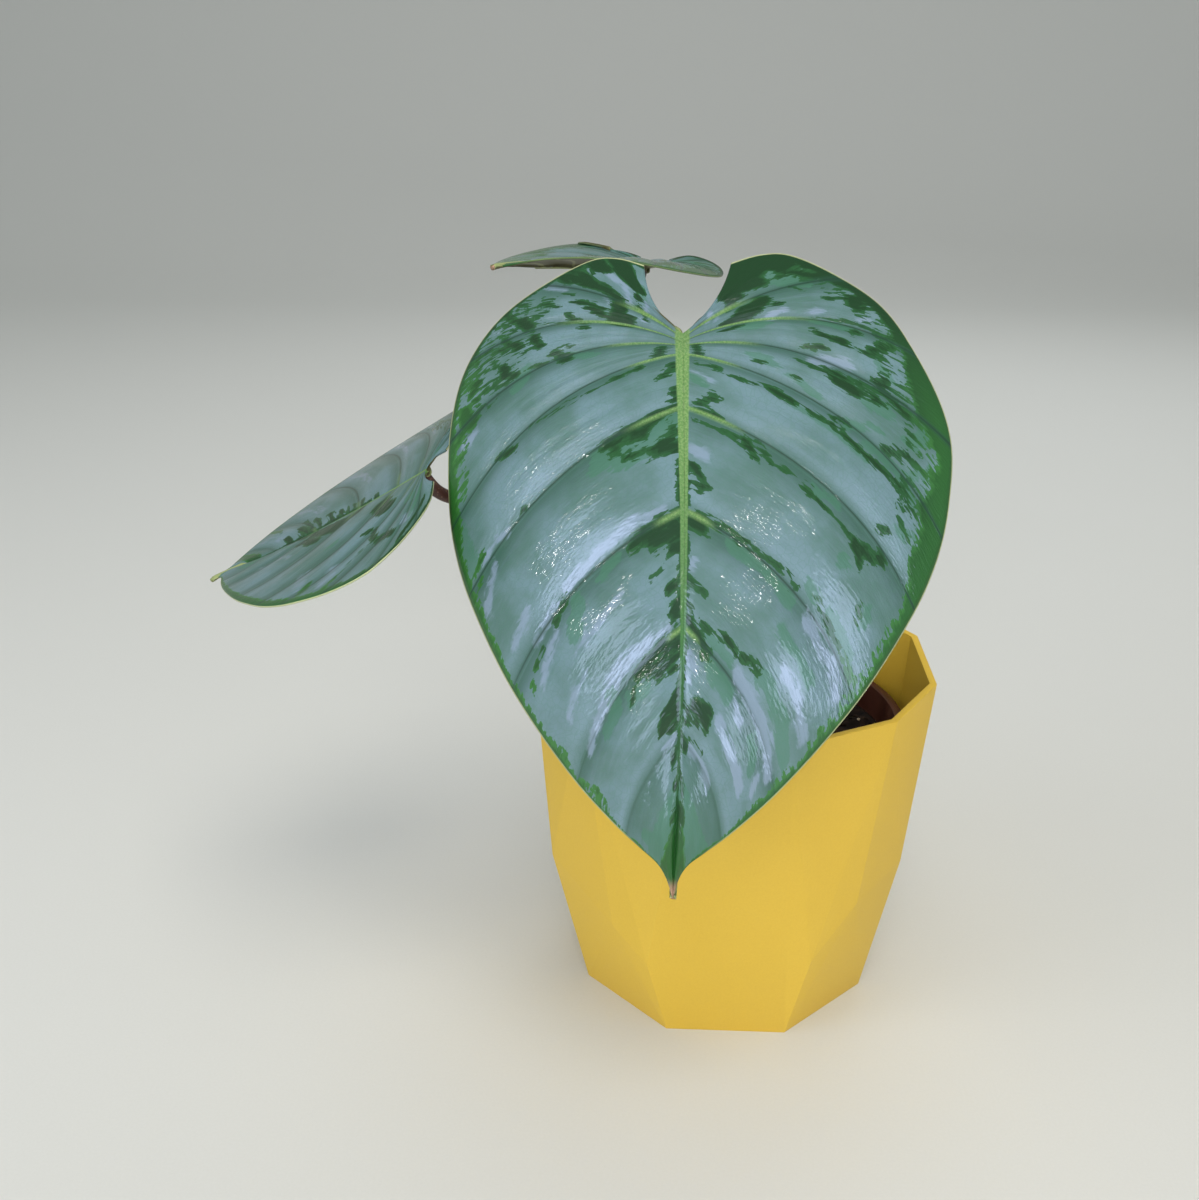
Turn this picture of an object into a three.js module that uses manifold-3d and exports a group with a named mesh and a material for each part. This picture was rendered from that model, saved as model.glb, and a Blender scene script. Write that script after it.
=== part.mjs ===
// Potted Philodendron sodiroi: three heart-shaped silver leaves on thin petioles, rising from a short
// stem in a round nursery pot that stands inside a faceted yellow planter.
// Millimetres, +Z up, origin at the centre of the planter's underside. The planter's front face looks
// along -Y.
import * as THREE from 'three';
import { ConvexGeometry } from 'three/addons/geometries/ConvexGeometry.js';
import { mergeVertices } from 'three/addons/utils/BufferGeometryUtils.js';
import Module from 'manifold-3d';

const wasm = await Module();
wasm.setup();

// Clearance kept between pieces that rest against each other.
const GAP = 0.3;

// Planter: an octagonal base, a twelve-sided rim and a belt of corners between them.
const BASE_RADIUS = 60;
const RIM_RADIUS = 79;
const PLANTER_HEIGHT = 136;
const PLANTER_WALL = 2.6;
const PLANTER_FLOOR = 4;
// Directions of the twelve rim corners, and of the belt corners with their radius and height.
const RIM_CORNERS = [-77, -44.5, -17, 17, 44.5, 77, 103, 135.5, 163, 197, 224.5, 257];
const BELT_CORNERS = [
  { angle: -63, radius: 68, height: 37 },
  { angle: -117, radius: 68, height: 33 },
  { angle: -47.5, radius: 70.5, height: 58 },
  { angle: -130.5, radius: 68.5, height: 45 },
  { angle: -20, radius: 72, height: 60 },
  { angle: -160, radius: 74, height: 59 },
];

// Nursery pot: a thin round pot with a rolled lip, standing on the planter's floor.
const NURSERY_BASE_RADIUS = 47;
const NURSERY_LIP_RADIUS = 68.5;
const NURSERY_LIP_TOP = 112;
const NURSERY_LIP_HEIGHT = 7;
const NURSERY_LIP_WIDTH = 2.6;
const NURSERY_LIP_ROUNDING = 0.8;
const NURSERY_WALL = 1.4;
const NURSERY_SIDES = 48;
const DRAIN_HOLES = 6;
const DRAIN_HOLE_RADIUS = 4.5;
const DRAIN_CIRCLE_RADIUS = 32;

// Soil: fills the nursery pot to a finger's width below its lip.
const SOIL_TOP = 101;
const SOIL_ROUGHNESS = 1.3;
const SOIL_SIDES = 44;
const SOIL_RINGS = 11;

// Stem: short and thick, with rings where older leaves have dropped.
const STEM_FOOT = new THREE.Vector3(0, 8, SOIL_TOP - 26);
const STEM_RADIUS = 7;
const STEM_TOP_RADIUS = 5;
const STEM_LENGTH = 48;
const STEM_DOME = 3;
const STEM_RINGS = 8;
const STEM_RING_SWELLING = 0.7;
const STEM_SIDES = 20;

// Blade: half of the flat heart outline, from the top of a lobe round to the tip, for a midrib that
// is 183 mm long. x is the distance from the midrib, y runs from the petiole to the tip.
const OUTLINE_MIDRIB = 183;
const OUTLINE = [
  [14.5, -25.5], [24, -29], [34, -29.5], [50, -24], [67, -15.5], [79, -4.5], [86.5, 9], [89.8, 28],
  [89, 48], [86.5, 64], [81, 80], [72.5, 96], [61, 114], [47.5, 131], [33, 147], [20, 159],
  [10.5, 166.5], [5, 171], [2, 176], [0, 183],
].map(([x, y]) => new THREE.Vector2(x, y));
// Main side veins, counted from the sinus: where each leaves the midrib, the number of the outline
// point that it runs to, and how far it bulges towards the base as a share of its length.
const VEINS = [
  { start: -1.5, end: 0, bulge: -0.11 },
  { start: 0, end: 3.1, bulge: 0.06 },
  { start: 1.2, end: 5.4, bulge: 0.11 },
  { start: 2.4, end: 7.1, bulge: 0.12 },
  { start: 5, end: 8.9, bulge: 0.12 },
  { start: 22, end: 10.4, bulge: 0.1 },
  { start: 55, end: 12.2, bulge: 0.1 },
  { start: 92, end: 14, bulge: 0.09 },
  { start: 127, end: 15.4, bulge: 0.08 },
  { start: 183, end: 19, bulge: 0 },
];
const TIP_SHARE = 0.92;
// Quilting is highest a little inside the middle of a vein, and lower between the veins of the lobes.
const QUILT_PEAK = 0.8;
const LOBE_VEINS = 4;
const LOBE_QUILTING = 0.55;
// Where along the flat midrib a shoulder is trimmed most, how far that reaches, and how far the lobes go.
const SHOULDER_PLACE = -3;
const SHOULDER_REACH = 22;
const LOBE_LENGTH = 30;
const CURL_SPAN = 50;
const BLADE_THICKNESS = 0.9;
const RIB_DEPTH = 1.8;
const RIB_HALF_WIDTH = 3.2;
const RIB_THINNING = 0.85;

// Petioles are round, stand straight to the blade over their last millimetres, and meet it this far in
// front of the sinus.
const PETIOLE_SIDES = 10;
const PETIOLE_STEPS = 26;
const PETIOLE_NECK = 9;
const PETIOLE_SEAT = 2.5;

// Leaves, largest first. heading is the compass direction of the midrib (0 is +X, 90 is +Y), pitch its
// slope down at the petiole, bend how much steeper it is at the tip, and roll a turn about the heading.
// fold is the angle at which each half falls away from the midrib, right and left as the petiole sees
// the tip, foldChange how much more that is at the tip, and curl how much further it turns over
// CURL_SPAN. lobeBend turns the lobes up or down, and lobes is their length as a share of the full one.
// shoulder is the share by which each half is narrower at its shoulder, and bow is how far the midrib
// swings to its right half-way down.
const LEAVES = [
  {
    name: 'large',
    joint: [-22.6, -59.3, 271.8],
    length: 183,
    heading: -99.5,
    pitch: 61,
    bend: 24,
    lobeBend: -4,
    roll: 3.1,
    fold: [6, 6],
    foldChange: [0, 0],
    curl: [13, 13],
    lobes: 1,
    shoulder: [0, 0.08],
    bow: -3.4,
    quilting: 2.2,
    rowsPerVein: 5,
    columns: [0, 0.036, 0.1, 0.2, 0.32, 0.45, 0.58, 0.71, 0.84, 0.93, 1],
    petiole: {
      radii: [4.6, 3, 2.6, 2.5, 2.6, 3.1],
      route: [[2, 0.4, 103], [-1, -2, 150], [-8, -8, 205], [-16, -28, 246]],
    },
  },
  {
    name: 'left',
    joint: [-112.3, -30.7, 218.2],
    length: 120,
    heading: 178,
    pitch: 40,
    bend: -8,
    lobeBend: -69,
    roll: -33,
    fold: [14, -13],
    foldChange: [1, -16],
    curl: [12, -3],
    lobes: 0.4,
    shoulder: [0, 0],
    bow: 0,
    quilting: 1.2,
    rowsPerVein: 3,
    columns: [0, 0.06, 0.18, 0.36, 0.56, 0.76, 0.9, 1],
    petiole: {
      radii: [4, 2.5, 2.1, 2, 2.1, 2.5],
      route: [[-8, 9.5, 104], [-24, 8, 142], [-52, -2, 180], [-86, -18, 200]],
    },
  },
  {
    name: 'back',
    joint: [-37.1, 63.3, 275.8],
    length: 86,
    heading: 234,
    pitch: -10,
    bend: 7,
    lobeBend: 69,
    roll: 18.7,
    fold: [-36, 3],
    foldChange: [23, -6],
    curl: [22, 39],
    lobes: 0.66,
    shoulder: [0, 0],
    bow: 0,
    quilting: 0.9,
    rowsPerVein: 3,
    columns: [0, 0.06, 0.18, 0.36, 0.56, 0.76, 0.9, 1],
    petiole: {
      radii: [3.8, 2.2, 1.8, 1.7, 1.8, 2.4],
      route: [[3, 15.6, 104], [0, 28, 150], [-13, 44, 205], [-29, 57, 252]],
    },
  },
];

const radians = THREE.MathUtils.degToRad;

function polar(radius, degrees, z) {
  const angle = radians(degrees);
  return new THREE.Vector3(radius * Math.cos(angle), radius * Math.sin(angle), z);
}

// A closed geometry as a solid for cutting, and a solid back as a geometry.
function toSolid(geometry) {
  const bare = geometry.clone();
  bare.deleteAttribute('normal');
  bare.deleteAttribute('uv');
  const merged = mergeVertices(bare, 1e-4);
  return new wasm.Manifold(new wasm.Mesh({
    numProp: 3,
    vertProperties: new Float32Array(merged.attributes.position.array),
    triVerts: new Uint32Array(merged.index.array),
  }));
}

function toGeometry(solid) {
  const mesh = solid.getMesh();
  const geometry = new THREE.BufferGeometry();
  geometry.setAttribute('position', new THREE.BufferAttribute(mesh.vertProperties, 3));
  geometry.setIndex(new THREE.BufferAttribute(mesh.triVerts, 1));
  geometry.computeVertexNormals();
  return geometry;
}

function lathe(profile, segments) {
  const points = profile.map(([radius, z]) => new THREE.Vector2(radius, z));
  return new THREE.LatheGeometry(points, segments).rotateX(Math.PI / 2);
}

function namedMesh(name, geometry, material) {
  const mesh = new THREE.Mesh(geometry, material);
  mesh.name = name;
  return mesh;
}

// The belt is the same on the back as on the front, turned half a turn.
function planterHull(inset, bottom, top) {
  const points = [];
  for (let side = 0; side < 8; side += 1) {
    points.push(polar(BASE_RADIUS - inset, 22.5 + 45 * side, bottom));
  }
  for (const corner of BELT_CORNERS) {
    points.push(polar(corner.radius - inset, corner.angle, corner.height));
    points.push(polar(corner.radius - inset, corner.angle + 180, corner.height));
  }
  for (const angle of RIM_CORNERS) {
    points.push(polar(RIM_RADIUS - inset, angle, top));
  }
  return new ConvexGeometry(points);
}

function planterGeometry() {
  const outside = toSolid(planterHull(0, 0, PLANTER_HEIGHT));
  const cavity = toSolid(planterHull(PLANTER_WALL, PLANTER_FLOOR, PLANTER_HEIGHT + 1));
  return toGeometry(outside.subtract(cavity));
}

const NURSERY_FOOT = PLANTER_FLOOR + GAP;
const NURSERY_LIP_FOOT = NURSERY_LIP_TOP - NURSERY_LIP_HEIGHT;

// Inner radius of the nursery pot's straight wall at a height.
function nurseryInside(z) {
  const share = (z - NURSERY_FOOT) / (NURSERY_LIP_TOP - NURSERY_FOOT);
  const topRadius = NURSERY_LIP_RADIUS - NURSERY_LIP_WIDTH;
  return THREE.MathUtils.lerp(NURSERY_BASE_RADIUS, topRadius, share) - NURSERY_WALL;
}

function nurseryPotGeometry() {
  const floorTop = NURSERY_FOOT + NURSERY_WALL;
  const inside = nurseryInside(NURSERY_LIP_TOP);
  const pot = toSolid(lathe([
    [0, NURSERY_FOOT],
    [NURSERY_BASE_RADIUS, NURSERY_FOOT],
    [nurseryInside(NURSERY_LIP_FOOT) + NURSERY_WALL, NURSERY_LIP_FOOT],
    [NURSERY_LIP_RADIUS - NURSERY_LIP_ROUNDING, NURSERY_LIP_FOOT],
    [NURSERY_LIP_RADIUS, NURSERY_LIP_TOP - NURSERY_LIP_ROUNDING],
    [NURSERY_LIP_RADIUS - NURSERY_LIP_ROUNDING, NURSERY_LIP_TOP],
    [inside + NURSERY_LIP_ROUNDING, NURSERY_LIP_TOP],
    [inside, NURSERY_LIP_TOP - NURSERY_LIP_ROUNDING],
    [nurseryInside(floorTop), floorTop],
    [0, floorTop],
  ], NURSERY_SIDES));
  let drained = pot;
  for (let hole = 0; hole < DRAIN_HOLES; hole += 1) {
    const centre = polar(DRAIN_CIRCLE_RADIUS, (360 * hole) / DRAIN_HOLES, NURSERY_FOOT);
    const drill = new THREE.CylinderGeometry(DRAIN_HOLE_RADIUS, DRAIN_HOLE_RADIUS, 10 * NURSERY_WALL, 12);
    drill.rotateX(Math.PI / 2).translate(centre.x, centre.y, centre.z);
    drained = drained.subtract(toSolid(drill));
  }
  return toGeometry(drained);
}

// The stem, or the stem with a clearance all round for cutting its seat.
function stemGeometry(clearance) {
  const profile = [[0, -clearance]];
  for (let ring = 0; ring <= STEM_RINGS; ring += 1) {
    const share = ring / STEM_RINGS;
    const radius = THREE.MathUtils.lerp(STEM_RADIUS, STEM_TOP_RADIUS, share);
    const swelling = ring % 2 === 1 ? STEM_RING_SWELLING : 0;
    profile.push([radius + swelling + clearance, ring === 0 ? -clearance : STEM_LENGTH * share]);
  }
  profile.push([0, STEM_LENGTH + STEM_DOME + clearance]);
  const geometry = lathe(profile, STEM_SIDES);
  return geometry.translate(STEM_FOOT.x, STEM_FOOT.y, STEM_FOOT.z);
}

// Crumbs on the soil: a few crossed waves of unlike lengths, flat towards the wall.
function soilHeight(x, y) {
  const waves = Math.sin(x * 0.43 + 1.1) * Math.sin(y * 0.37 - 0.6) + 0.7 * Math.sin(x * 0.19 - y * 0.53);
  const fade = 1 - (Math.hypot(x, y) / nurseryInside(SOIL_TOP)) ** 8;
  return SOIL_ROUGHNESS * waves * fade;
}

function soilGeometry() {
  const foot = NURSERY_FOOT + NURSERY_WALL + GAP;
  const profile = [[0, foot], [nurseryInside(foot) - GAP, foot]];
  const topRadius = nurseryInside(SOIL_TOP) - GAP;
  for (let ring = 0; ring <= SOIL_RINGS; ring += 1) {
    profile.push([topRadius * (1 - ring / SOIL_RINGS), SOIL_TOP]);
  }
  const body = lathe(profile, SOIL_SIDES);
  const position = body.attributes.position;
  for (let k = 0; k < position.count; k += 1) {
    if (position.getZ(k) > SOIL_TOP - 1) {
      position.setZ(k, SOIL_TOP + soilHeight(position.getX(k), position.getY(k)));
    }
  }
  return toGeometry(toSolid(body).subtract(toSolid(stemGeometry(GAP))));
}

// A value that follows the vein table between whole veins.
function alongVeins(key, vein) {
  const lower = Math.min(Math.floor(vein), VEINS.length - 2);
  return THREE.MathUtils.lerp(VEINS[lower][key], VEINS[lower + 1][key], vein - lower);
}

const outlineCurve = new THREE.SplineCurve(OUTLINE);

// Flat place on the right half of a blade: vein is the side vein's number, out runs from 0 on the
// midrib to 1 on the edge.
function flatPoint(vein, out) {
  const start = new THREE.Vector2(0, alongVeins('start', vein));
  const end = outlineCurve.getPoint(alongVeins('end', vein) / (OUTLINE.length - 1));
  const chord = end.clone().sub(start);
  const side = new THREE.Vector2(chord.y, -chord.x).multiplyScalar(2 * alongVeins('bulge', vein));
  const control = start.clone().add(end).multiplyScalar(0.5).add(side);
  return new THREE.QuadraticBezierCurve(start, control, end).getPoint(out);
}

// Quilting: the blade stands up between its side veins and is drawn in along them.
function quilt(leaf, vein, out) {
  const between = Math.sin(Math.PI * (vein - Math.floor(vein))) ** 2;
  const across = Math.sin(Math.PI * Math.min(out, 1) ** QUILT_PEAK);
  return leaf.quilting * between * across * (vein < LOBE_VEINS ? LOBE_QUILTING : 1);
}

// Frame of the bent and folded blade at a flat place: the point and the surface's normal there.
// hold runs from 1 on the midrib to 0 on the edge, which the bow leaves where it is.
function bladeFrame(leaf, x, y, hold) {
  const scale = leaf.length / OUTLINE_MIDRIB;
  const along = (y < 0 ? y * leaf.lobes : y) * scale;
  const side = x < 0 ? 1 : 0;
  const shoulder = leaf.shoulder[side] * Math.exp(-(((y - SHOULDER_PLACE) / SHOULDER_REACH) ** 2));
  const across = Math.abs(x) * scale * (1 - shoulder);
  const heading = radians(leaf.heading);
  const forward = new THREE.Vector3(Math.cos(heading), Math.sin(heading), 0);
  const right = new THREE.Vector3(Math.sin(heading), -Math.cos(heading), 0);
  const up = new THREE.Vector3(0, 0, 1);
  const lobeTurn = -radians(leaf.lobeBend) / (LOBE_LENGTH * scale);
  const turn = along < 0 ? lobeTurn : radians(leaf.bend) / leaf.length;
  const bend = Math.abs(turn) < 1e-6 ? 1e-6 : turn;
  const pitch = radians(leaf.pitch);
  const slope = pitch + bend * along;
  const point = forward.clone().multiplyScalar((Math.sin(slope) - Math.sin(pitch)) / bend);
  point.addScaledVector(up, (Math.cos(slope) - Math.cos(pitch)) / bend);
  const above = forward.clone().multiplyScalar(Math.sin(slope)).addScaledVector(up, Math.cos(slope));
  const share = THREE.MathUtils.clamp(along / leaf.length, -0.2, 1);
  const foldAt = (half) => radians(leaf.fold[half] + leaf.foldChange[half] * share);
  const fold = foldAt(side);
  const curl = radians(leaf.curl[side]) / CURL_SPAN;
  const fall = fold + curl * across;
  const outward = side === 0 ? 1 : -1;
  point.addScaledVector(right, (outward * (Math.sin(fall) - Math.sin(fold))) / curl);
  point.addScaledVector(above, (Math.cos(fall) - Math.cos(fold)) / curl);
  point.addScaledVector(right, leaf.bow * hold * Math.sin(Math.PI * Math.max(0, y / OUTLINE_MIDRIB)));
  const lean = across > 0 ? outward * fall : (foldAt(0) - foldAt(1)) / 2;
  const normal = above.clone().multiplyScalar(Math.cos(lean)).addScaledVector(right, Math.sin(lean));
  point.applyAxisAngle(forward, radians(leaf.roll)).add(new THREE.Vector3(...leaf.joint));
  normal.applyAxisAngle(forward, radians(leaf.roll));
  return { point, normal };
}

// How far the midrib stands out of the lower face at the petiole: less on smaller leaves.
function ribDepth(leaf) {
  return RIB_DEPTH * Math.sqrt(leaf.length / OUTLINE_MIDRIB);
}

// Upper and lower point of the blade. The lower face carries the midrib, which thins to the tip.
function bladePair(leaf, side, vein, out) {
  const flat = flatPoint(vein, out);
  const { point, normal } = bladeFrame(leaf, side * flat.x, flat.y, 1 - out * out);
  const relief = quilt(leaf, vein, out);
  const thinning = 1 - RIB_THINNING * (flat.y / OUTLINE_MIDRIB);
  const rib = ribDepth(leaf) * Math.max(0, 1 - flat.x / RIB_HALF_WIDTH) * thinning;
  return [
    point.clone().addScaledVector(normal, relief + BLADE_THICKNESS / 2),
    point.clone().addScaledVector(normal, relief - BLADE_THICKNESS / 2 - rib),
  ];
}

// Both faces have the same triangles, so the blade is as thick everywhere as it should be.
function bladeGeometry(leaf) {
  const lastVein = VEINS.length - 1;
  const rows = [];
  const steps = leaf.rowsPerVein * lastVein;
  for (let step = 0; step < steps; step += 1) {
    rows.push(step / leaf.rowsPerVein);
  }
  rows.push(lastVein - 1 + TIP_SHARE);
  const columns = leaf.columns;
  const positions = [];
  const place = (side, vein, out) => {
    for (const corner of bladePair(leaf, side, vein, out)) {
      positions.push(...corner.toArray());
    }
    return positions.length / 3 - 2;
  };
  const midrib = rows.map((vein) => place(1, vein, 0));
  const half = (side) => rows.map((vein, row) => (
    columns.map((out) => (out === 0 ? midrib[row] : place(side, vein, out)))
  ));
  const right = half(1);
  const left = half(-1);
  const tip = place(1, lastVein, 0);
  const triangles = [];
  const bothFaces = (a, b, c) => triangles.push(a, b, c, c + 1, b + 1, a + 1);
  for (const [grid, turned] of [[right, true], [left, false]]) {
    const face = (a, b, c) => (turned ? bothFaces(a, c, b) : bothFaces(a, b, c));
    for (let row = 0; row + 1 < rows.length; row += 1) {
      for (let column = 0; column + 1 < columns.length; column += 1) {
        const [a, b] = [grid[row][column], grid[row][column + 1]];
        const [c, d] = [grid[row + 1][column + 1], grid[row + 1][column]];
        face(a, c, b);
        face(a, d, c);
      }
    }
    const end = grid[rows.length - 1];
    for (let column = 0; column + 1 < columns.length; column += 1) {
      face(end[column], tip, end[column + 1]);
    }
  }
  const lastColumn = columns.length - 1;
  const rim = [
    ...[...left[0]].reverse().slice(0, -1),
    ...right[0],
    ...right.slice(1).map((row) => row[lastColumn]),
    tip,
    ...left.slice(1).map((row) => row[lastColumn]).reverse(),
  ];
  rim.forEach((a, k) => {
    const b = rim[(k + 1) % rim.length];
    triangles.push(a, b + 1, b, a, a + 1, b + 1);
  });
  const geometry = new THREE.BufferGeometry();
  geometry.setAttribute('position', new THREE.Float32BufferAttribute(positions, 3));
  geometry.setIndex(triangles);
  geometry.computeVertexNormals();
  return geometry;
}

// A round stalk whose radius follows a list of values from its foot to its end.
function stalkGeometry(curve, radii) {
  const sides = PETIOLE_SIDES;
  const steps = PETIOLE_STEPS;
  const frames = curve.computeFrenetFrames(steps, false);
  const positions = [];
  const triangles = [];
  for (let step = 0; step <= steps; step += 1) {
    const share = (step / steps) * (radii.length - 1);
    const lower = Math.min(Math.floor(share), radii.length - 2);
    const radius = THREE.MathUtils.lerp(radii[lower], radii[lower + 1], share - lower);
    const centre = curve.getPointAt(step / steps);
    for (let side = 0; side < sides; side += 1) {
      const angle = (2 * Math.PI * side) / sides;
      const corner = centre.clone();
      corner.addScaledVector(frames.normals[step], radius * Math.cos(angle));
      corner.addScaledVector(frames.binormals[step], radius * Math.sin(angle));
      positions.push(...corner.toArray());
      if (step < steps) {
        const a = step * sides + side;
        const b = step * sides + ((side + 1) % sides);
        triangles.push(a, b, b + sides, a, b + sides, a + sides);
      }
    }
  }
  for (let side = 1; side + 1 < sides; side += 1) {
    const top = steps * sides;
    triangles.push(0, side + 1, side, top, top + side, top + side + 1);
  }
  const geometry = new THREE.BufferGeometry();
  geometry.setAttribute('position', new THREE.Float32BufferAttribute(positions, 3));
  geometry.setIndex(triangles);
  geometry.computeVertexNormals();
  return geometry;
}

// The petiole clasps the stem at its foot and meets the midrib from below.
function petioleGeometry(leaf) {
  const { point, normal } = bladeFrame(leaf, 0, (PETIOLE_SEAT * OUTLINE_MIDRIB) / leaf.length, 1);
  const under = BLADE_THICKNESS / 2 + ribDepth(leaf) + GAP;
  const end = point.clone().addScaledVector(normal, -under);
  const route = leaf.petiole.route.map((corner) => new THREE.Vector3(...corner));
  route.push(end.clone().addScaledVector(normal, -PETIOLE_NECK), end);
  const curve = new THREE.CatmullRomCurve3(route, false, 'centripetal');
  const stalk = stalkGeometry(curve, leaf.petiole.radii);
  return toGeometry(toSolid(stalk).subtract(toSolid(stemGeometry(GAP))));
}

const planterFinish = new THREE.MeshStandardMaterial({ color: '#e2bd45', roughness: 0.6, metalness: 0 });
const nurseryFinish = new THREE.MeshStandardMaterial({ color: '#5a2f22', roughness: 0.5, metalness: 0 });
const soilFinish = new THREE.MeshStandardMaterial({ color: '#1d1512', roughness: 0.95, metalness: 0 });
const stemFinish = new THREE.MeshStandardMaterial({ color: '#5d6b35', roughness: 0.6, metalness: 0 });
const petioleFinish = new THREE.MeshStandardMaterial({ color: '#4a2a22', roughness: 0.5, metalness: 0 });
const bladeFinish = new THREE.MeshStandardMaterial({ color: '#7c9a90', roughness: 0.4, metalness: 0 });

const plant = new THREE.Group();
plant.add(namedMesh('planter', planterGeometry(), planterFinish));
plant.add(namedMesh('nursery_pot', nurseryPotGeometry(), nurseryFinish));
plant.add(namedMesh('soil', soilGeometry(), soilFinish));
plant.add(namedMesh('stem', stemGeometry(0), stemFinish));
for (const leaf of LEAVES) {
  plant.add(namedMesh(`petiole_${leaf.name}`, petioleGeometry(leaf), petioleFinish));
  plant.add(namedMesh(`blade_${leaf.name}`, bladeGeometry(leaf), bladeFinish));
}

export default plant;
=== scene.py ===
# %% [markdown]
# # A potted Philodendron sodiroi
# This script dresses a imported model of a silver-leaved house plant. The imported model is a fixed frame:
# it says where the planter, the nursery pot, the soil, the stem, the stalks and the leaves are. Each
# step below takes one of those pieces and gives it the form and the finish that the eye expects.
# Everything in the frame is in metres, so sizes that are easier to read in millimetres are divided by
# 1000 at the last moment.

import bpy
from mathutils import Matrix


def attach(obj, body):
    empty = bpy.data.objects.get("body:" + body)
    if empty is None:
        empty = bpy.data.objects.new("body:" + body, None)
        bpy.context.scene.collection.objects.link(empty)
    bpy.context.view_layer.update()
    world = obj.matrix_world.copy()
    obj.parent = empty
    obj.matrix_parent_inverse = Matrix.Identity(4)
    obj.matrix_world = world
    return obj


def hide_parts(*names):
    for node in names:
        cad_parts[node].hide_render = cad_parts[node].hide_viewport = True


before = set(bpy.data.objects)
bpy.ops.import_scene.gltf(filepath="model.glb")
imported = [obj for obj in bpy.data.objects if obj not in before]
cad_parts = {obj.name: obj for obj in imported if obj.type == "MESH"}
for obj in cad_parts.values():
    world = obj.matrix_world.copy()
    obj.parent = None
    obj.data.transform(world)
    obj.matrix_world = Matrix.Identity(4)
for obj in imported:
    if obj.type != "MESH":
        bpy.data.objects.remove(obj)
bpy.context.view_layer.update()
print("nodes:", sorted(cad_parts))

# %% Units and colours
import math
import random

import bmesh
import bpy
from mathutils import Matrix, Vector, noise

MM = 0.001


def srgb(code):
    """A colour as painters write it, '#rrggbb', as the linear numbers that a shader wants."""
    shares = [int(code[k:k + 2], 16) / 255 for k in (1, 3, 5)]
    linear = [s / 12.92 if s <= 0.04045 else ((s + 0.055) / 1.055) ** 2.4 for s in shares]
    return (*linear, 1.0)


# %% [markdown]
# ## Camera
# The camera stands where the photographer stood: half a metre in front of the pot, a little to its
# left, 358 mm above the table, and it looks 21.6 degrees down. These values were found by matching the
# corners of the pot: a longer lens from further away would give the same size, but less of the
# narrowing towards the foot of the pot.

# %% Camera
CAMERA_PLACE = Vector((-25.7, -504.6, 358.2))
LOOK_DOWN = 21.6
LOOK_LEFT = 3.0
LENS = 42.0
SENSOR = 36.0

camera = bpy.data.objects.new("camera", bpy.data.cameras.new("camera"))
bpy.context.scene.collection.objects.link(camera)
camera.location = CAMERA_PLACE * MM
camera.rotation_euler = (math.radians(90 - LOOK_DOWN), 0, math.radians(LOOK_LEFT))
camera.data.lens = LENS
camera.data.sensor_width = SENSOR
camera.data.sensor_fit = "AUTO"
camera.data.clip_start = 0.01
bpy.context.scene.camera = camera
bpy.context.scene.view_settings.view_transform = "Standard"
print("camera", [round(x, 1) for x in CAMERA_PLACE], "mm, down", LOOK_DOWN, "degrees")

# %% [markdown]
# ## Nodes with few words
# A material is a small network of nodes. It could be wired by hand in the shader editor, but a script
# can be read and repeated. One function adds a node, sets its properties, and fills its inputs with
# either a value or a link from an earlier node, which keeps every material below short.

# %% A function that adds a node
def node(tree, kind, inputs=None, stops=None, **properties):
    """Adds a node. An input is a value or another node's output; stops are those of a colour ramp."""
    made = tree.nodes.new(kind)
    for name, value in properties.items():
        setattr(made, name, value)
    for name, value in (inputs or {}).items():
        if isinstance(value, bpy.types.NodeSocket):
            tree.links.new(value, made.inputs[name])
        else:
            made.inputs[name].default_value = value
    if stops:
        ramp = made.color_ramp
        while len(ramp.elements) < len(stops):
            ramp.elements.new(1.0)
        for element, (place, colour) in zip(ramp.elements, stops):
            element.position = place
            element.color = colour
    return made


def material(name):
    made = bpy.data.materials.new(name)
    made.use_nodes = True
    made.node_tree.nodes.clear()
    print("material", name)
    return made, made.node_tree


def finish_material(tree, inputs):
    surface = node(tree, "ShaderNodeBsdfPrincipled", inputs)
    node(tree, "ShaderNodeOutputMaterial", {"Surface": surface.outputs["BSDF"]})


def object_place(tree):
    """Where a point lies on its object, in metres, so that a pattern stays fixed to the piece."""
    return node(tree, "ShaderNodeTexCoord").outputs["Object"]


def mixed(tree, share, first, second):
    """One colour over another, by a share from 0 to 1."""
    mix = node(tree, "ShaderNodeMix", {0: share, 6: first, 7: second}, data_type="RGBA")
    return mix.outputs[2]


print("node helper ready")

# %% [markdown]
# ## Floor and light
# The pot stands on a plain pale sheet that curves up far behind it, as in a product studio. The light
# could be one big soft lamp, but a glossy leaf shows every lamp as a reflection, so the lamps do two
# separate jobs here. Four soft ones light the surfaces and are not mirrored: one above, one in front,
# one at the left, and one behind the plant that draws its edges. Two windows low at the sides and two
# strings of small bulbs are only mirrored: the windows make the pale streaks on the quilting of the
# leaves, and the bulbs make the fine glints on their wrinkled skin.

# %% Floor finish: uncoated seamless paper
# Uncoated paper scatters all light and mirrors none, so it gives a calm ground with soft shadows.
PAPER_GRAIN = 1.1 * MM

paper, tree = material("pale_seamless_paper")
grain = node(tree, "ShaderNodeTexNoise", {
    "Vector": object_place(tree), "Scale": 1 / PAPER_GRAIN, "Detail": 2.0,
})
tint = mixed(tree, grain.outputs["Fac"], srgb("#d3d3cb"), srgb("#d8d8d1"))
finish_material(tree, {"Base Color": tint, "Roughness": 0.9})

# %% Floor
# Places and sizes in metres.
FLOOR_HALF_WIDTH = 4.0
FLOOR_FRONT = -3.0
FLOOR_BACK = 1.6
BACKDROP_RADIUS = 1.2
BACKDROP_HEIGHT = 4.0
BEND_STEPS = 12

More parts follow.
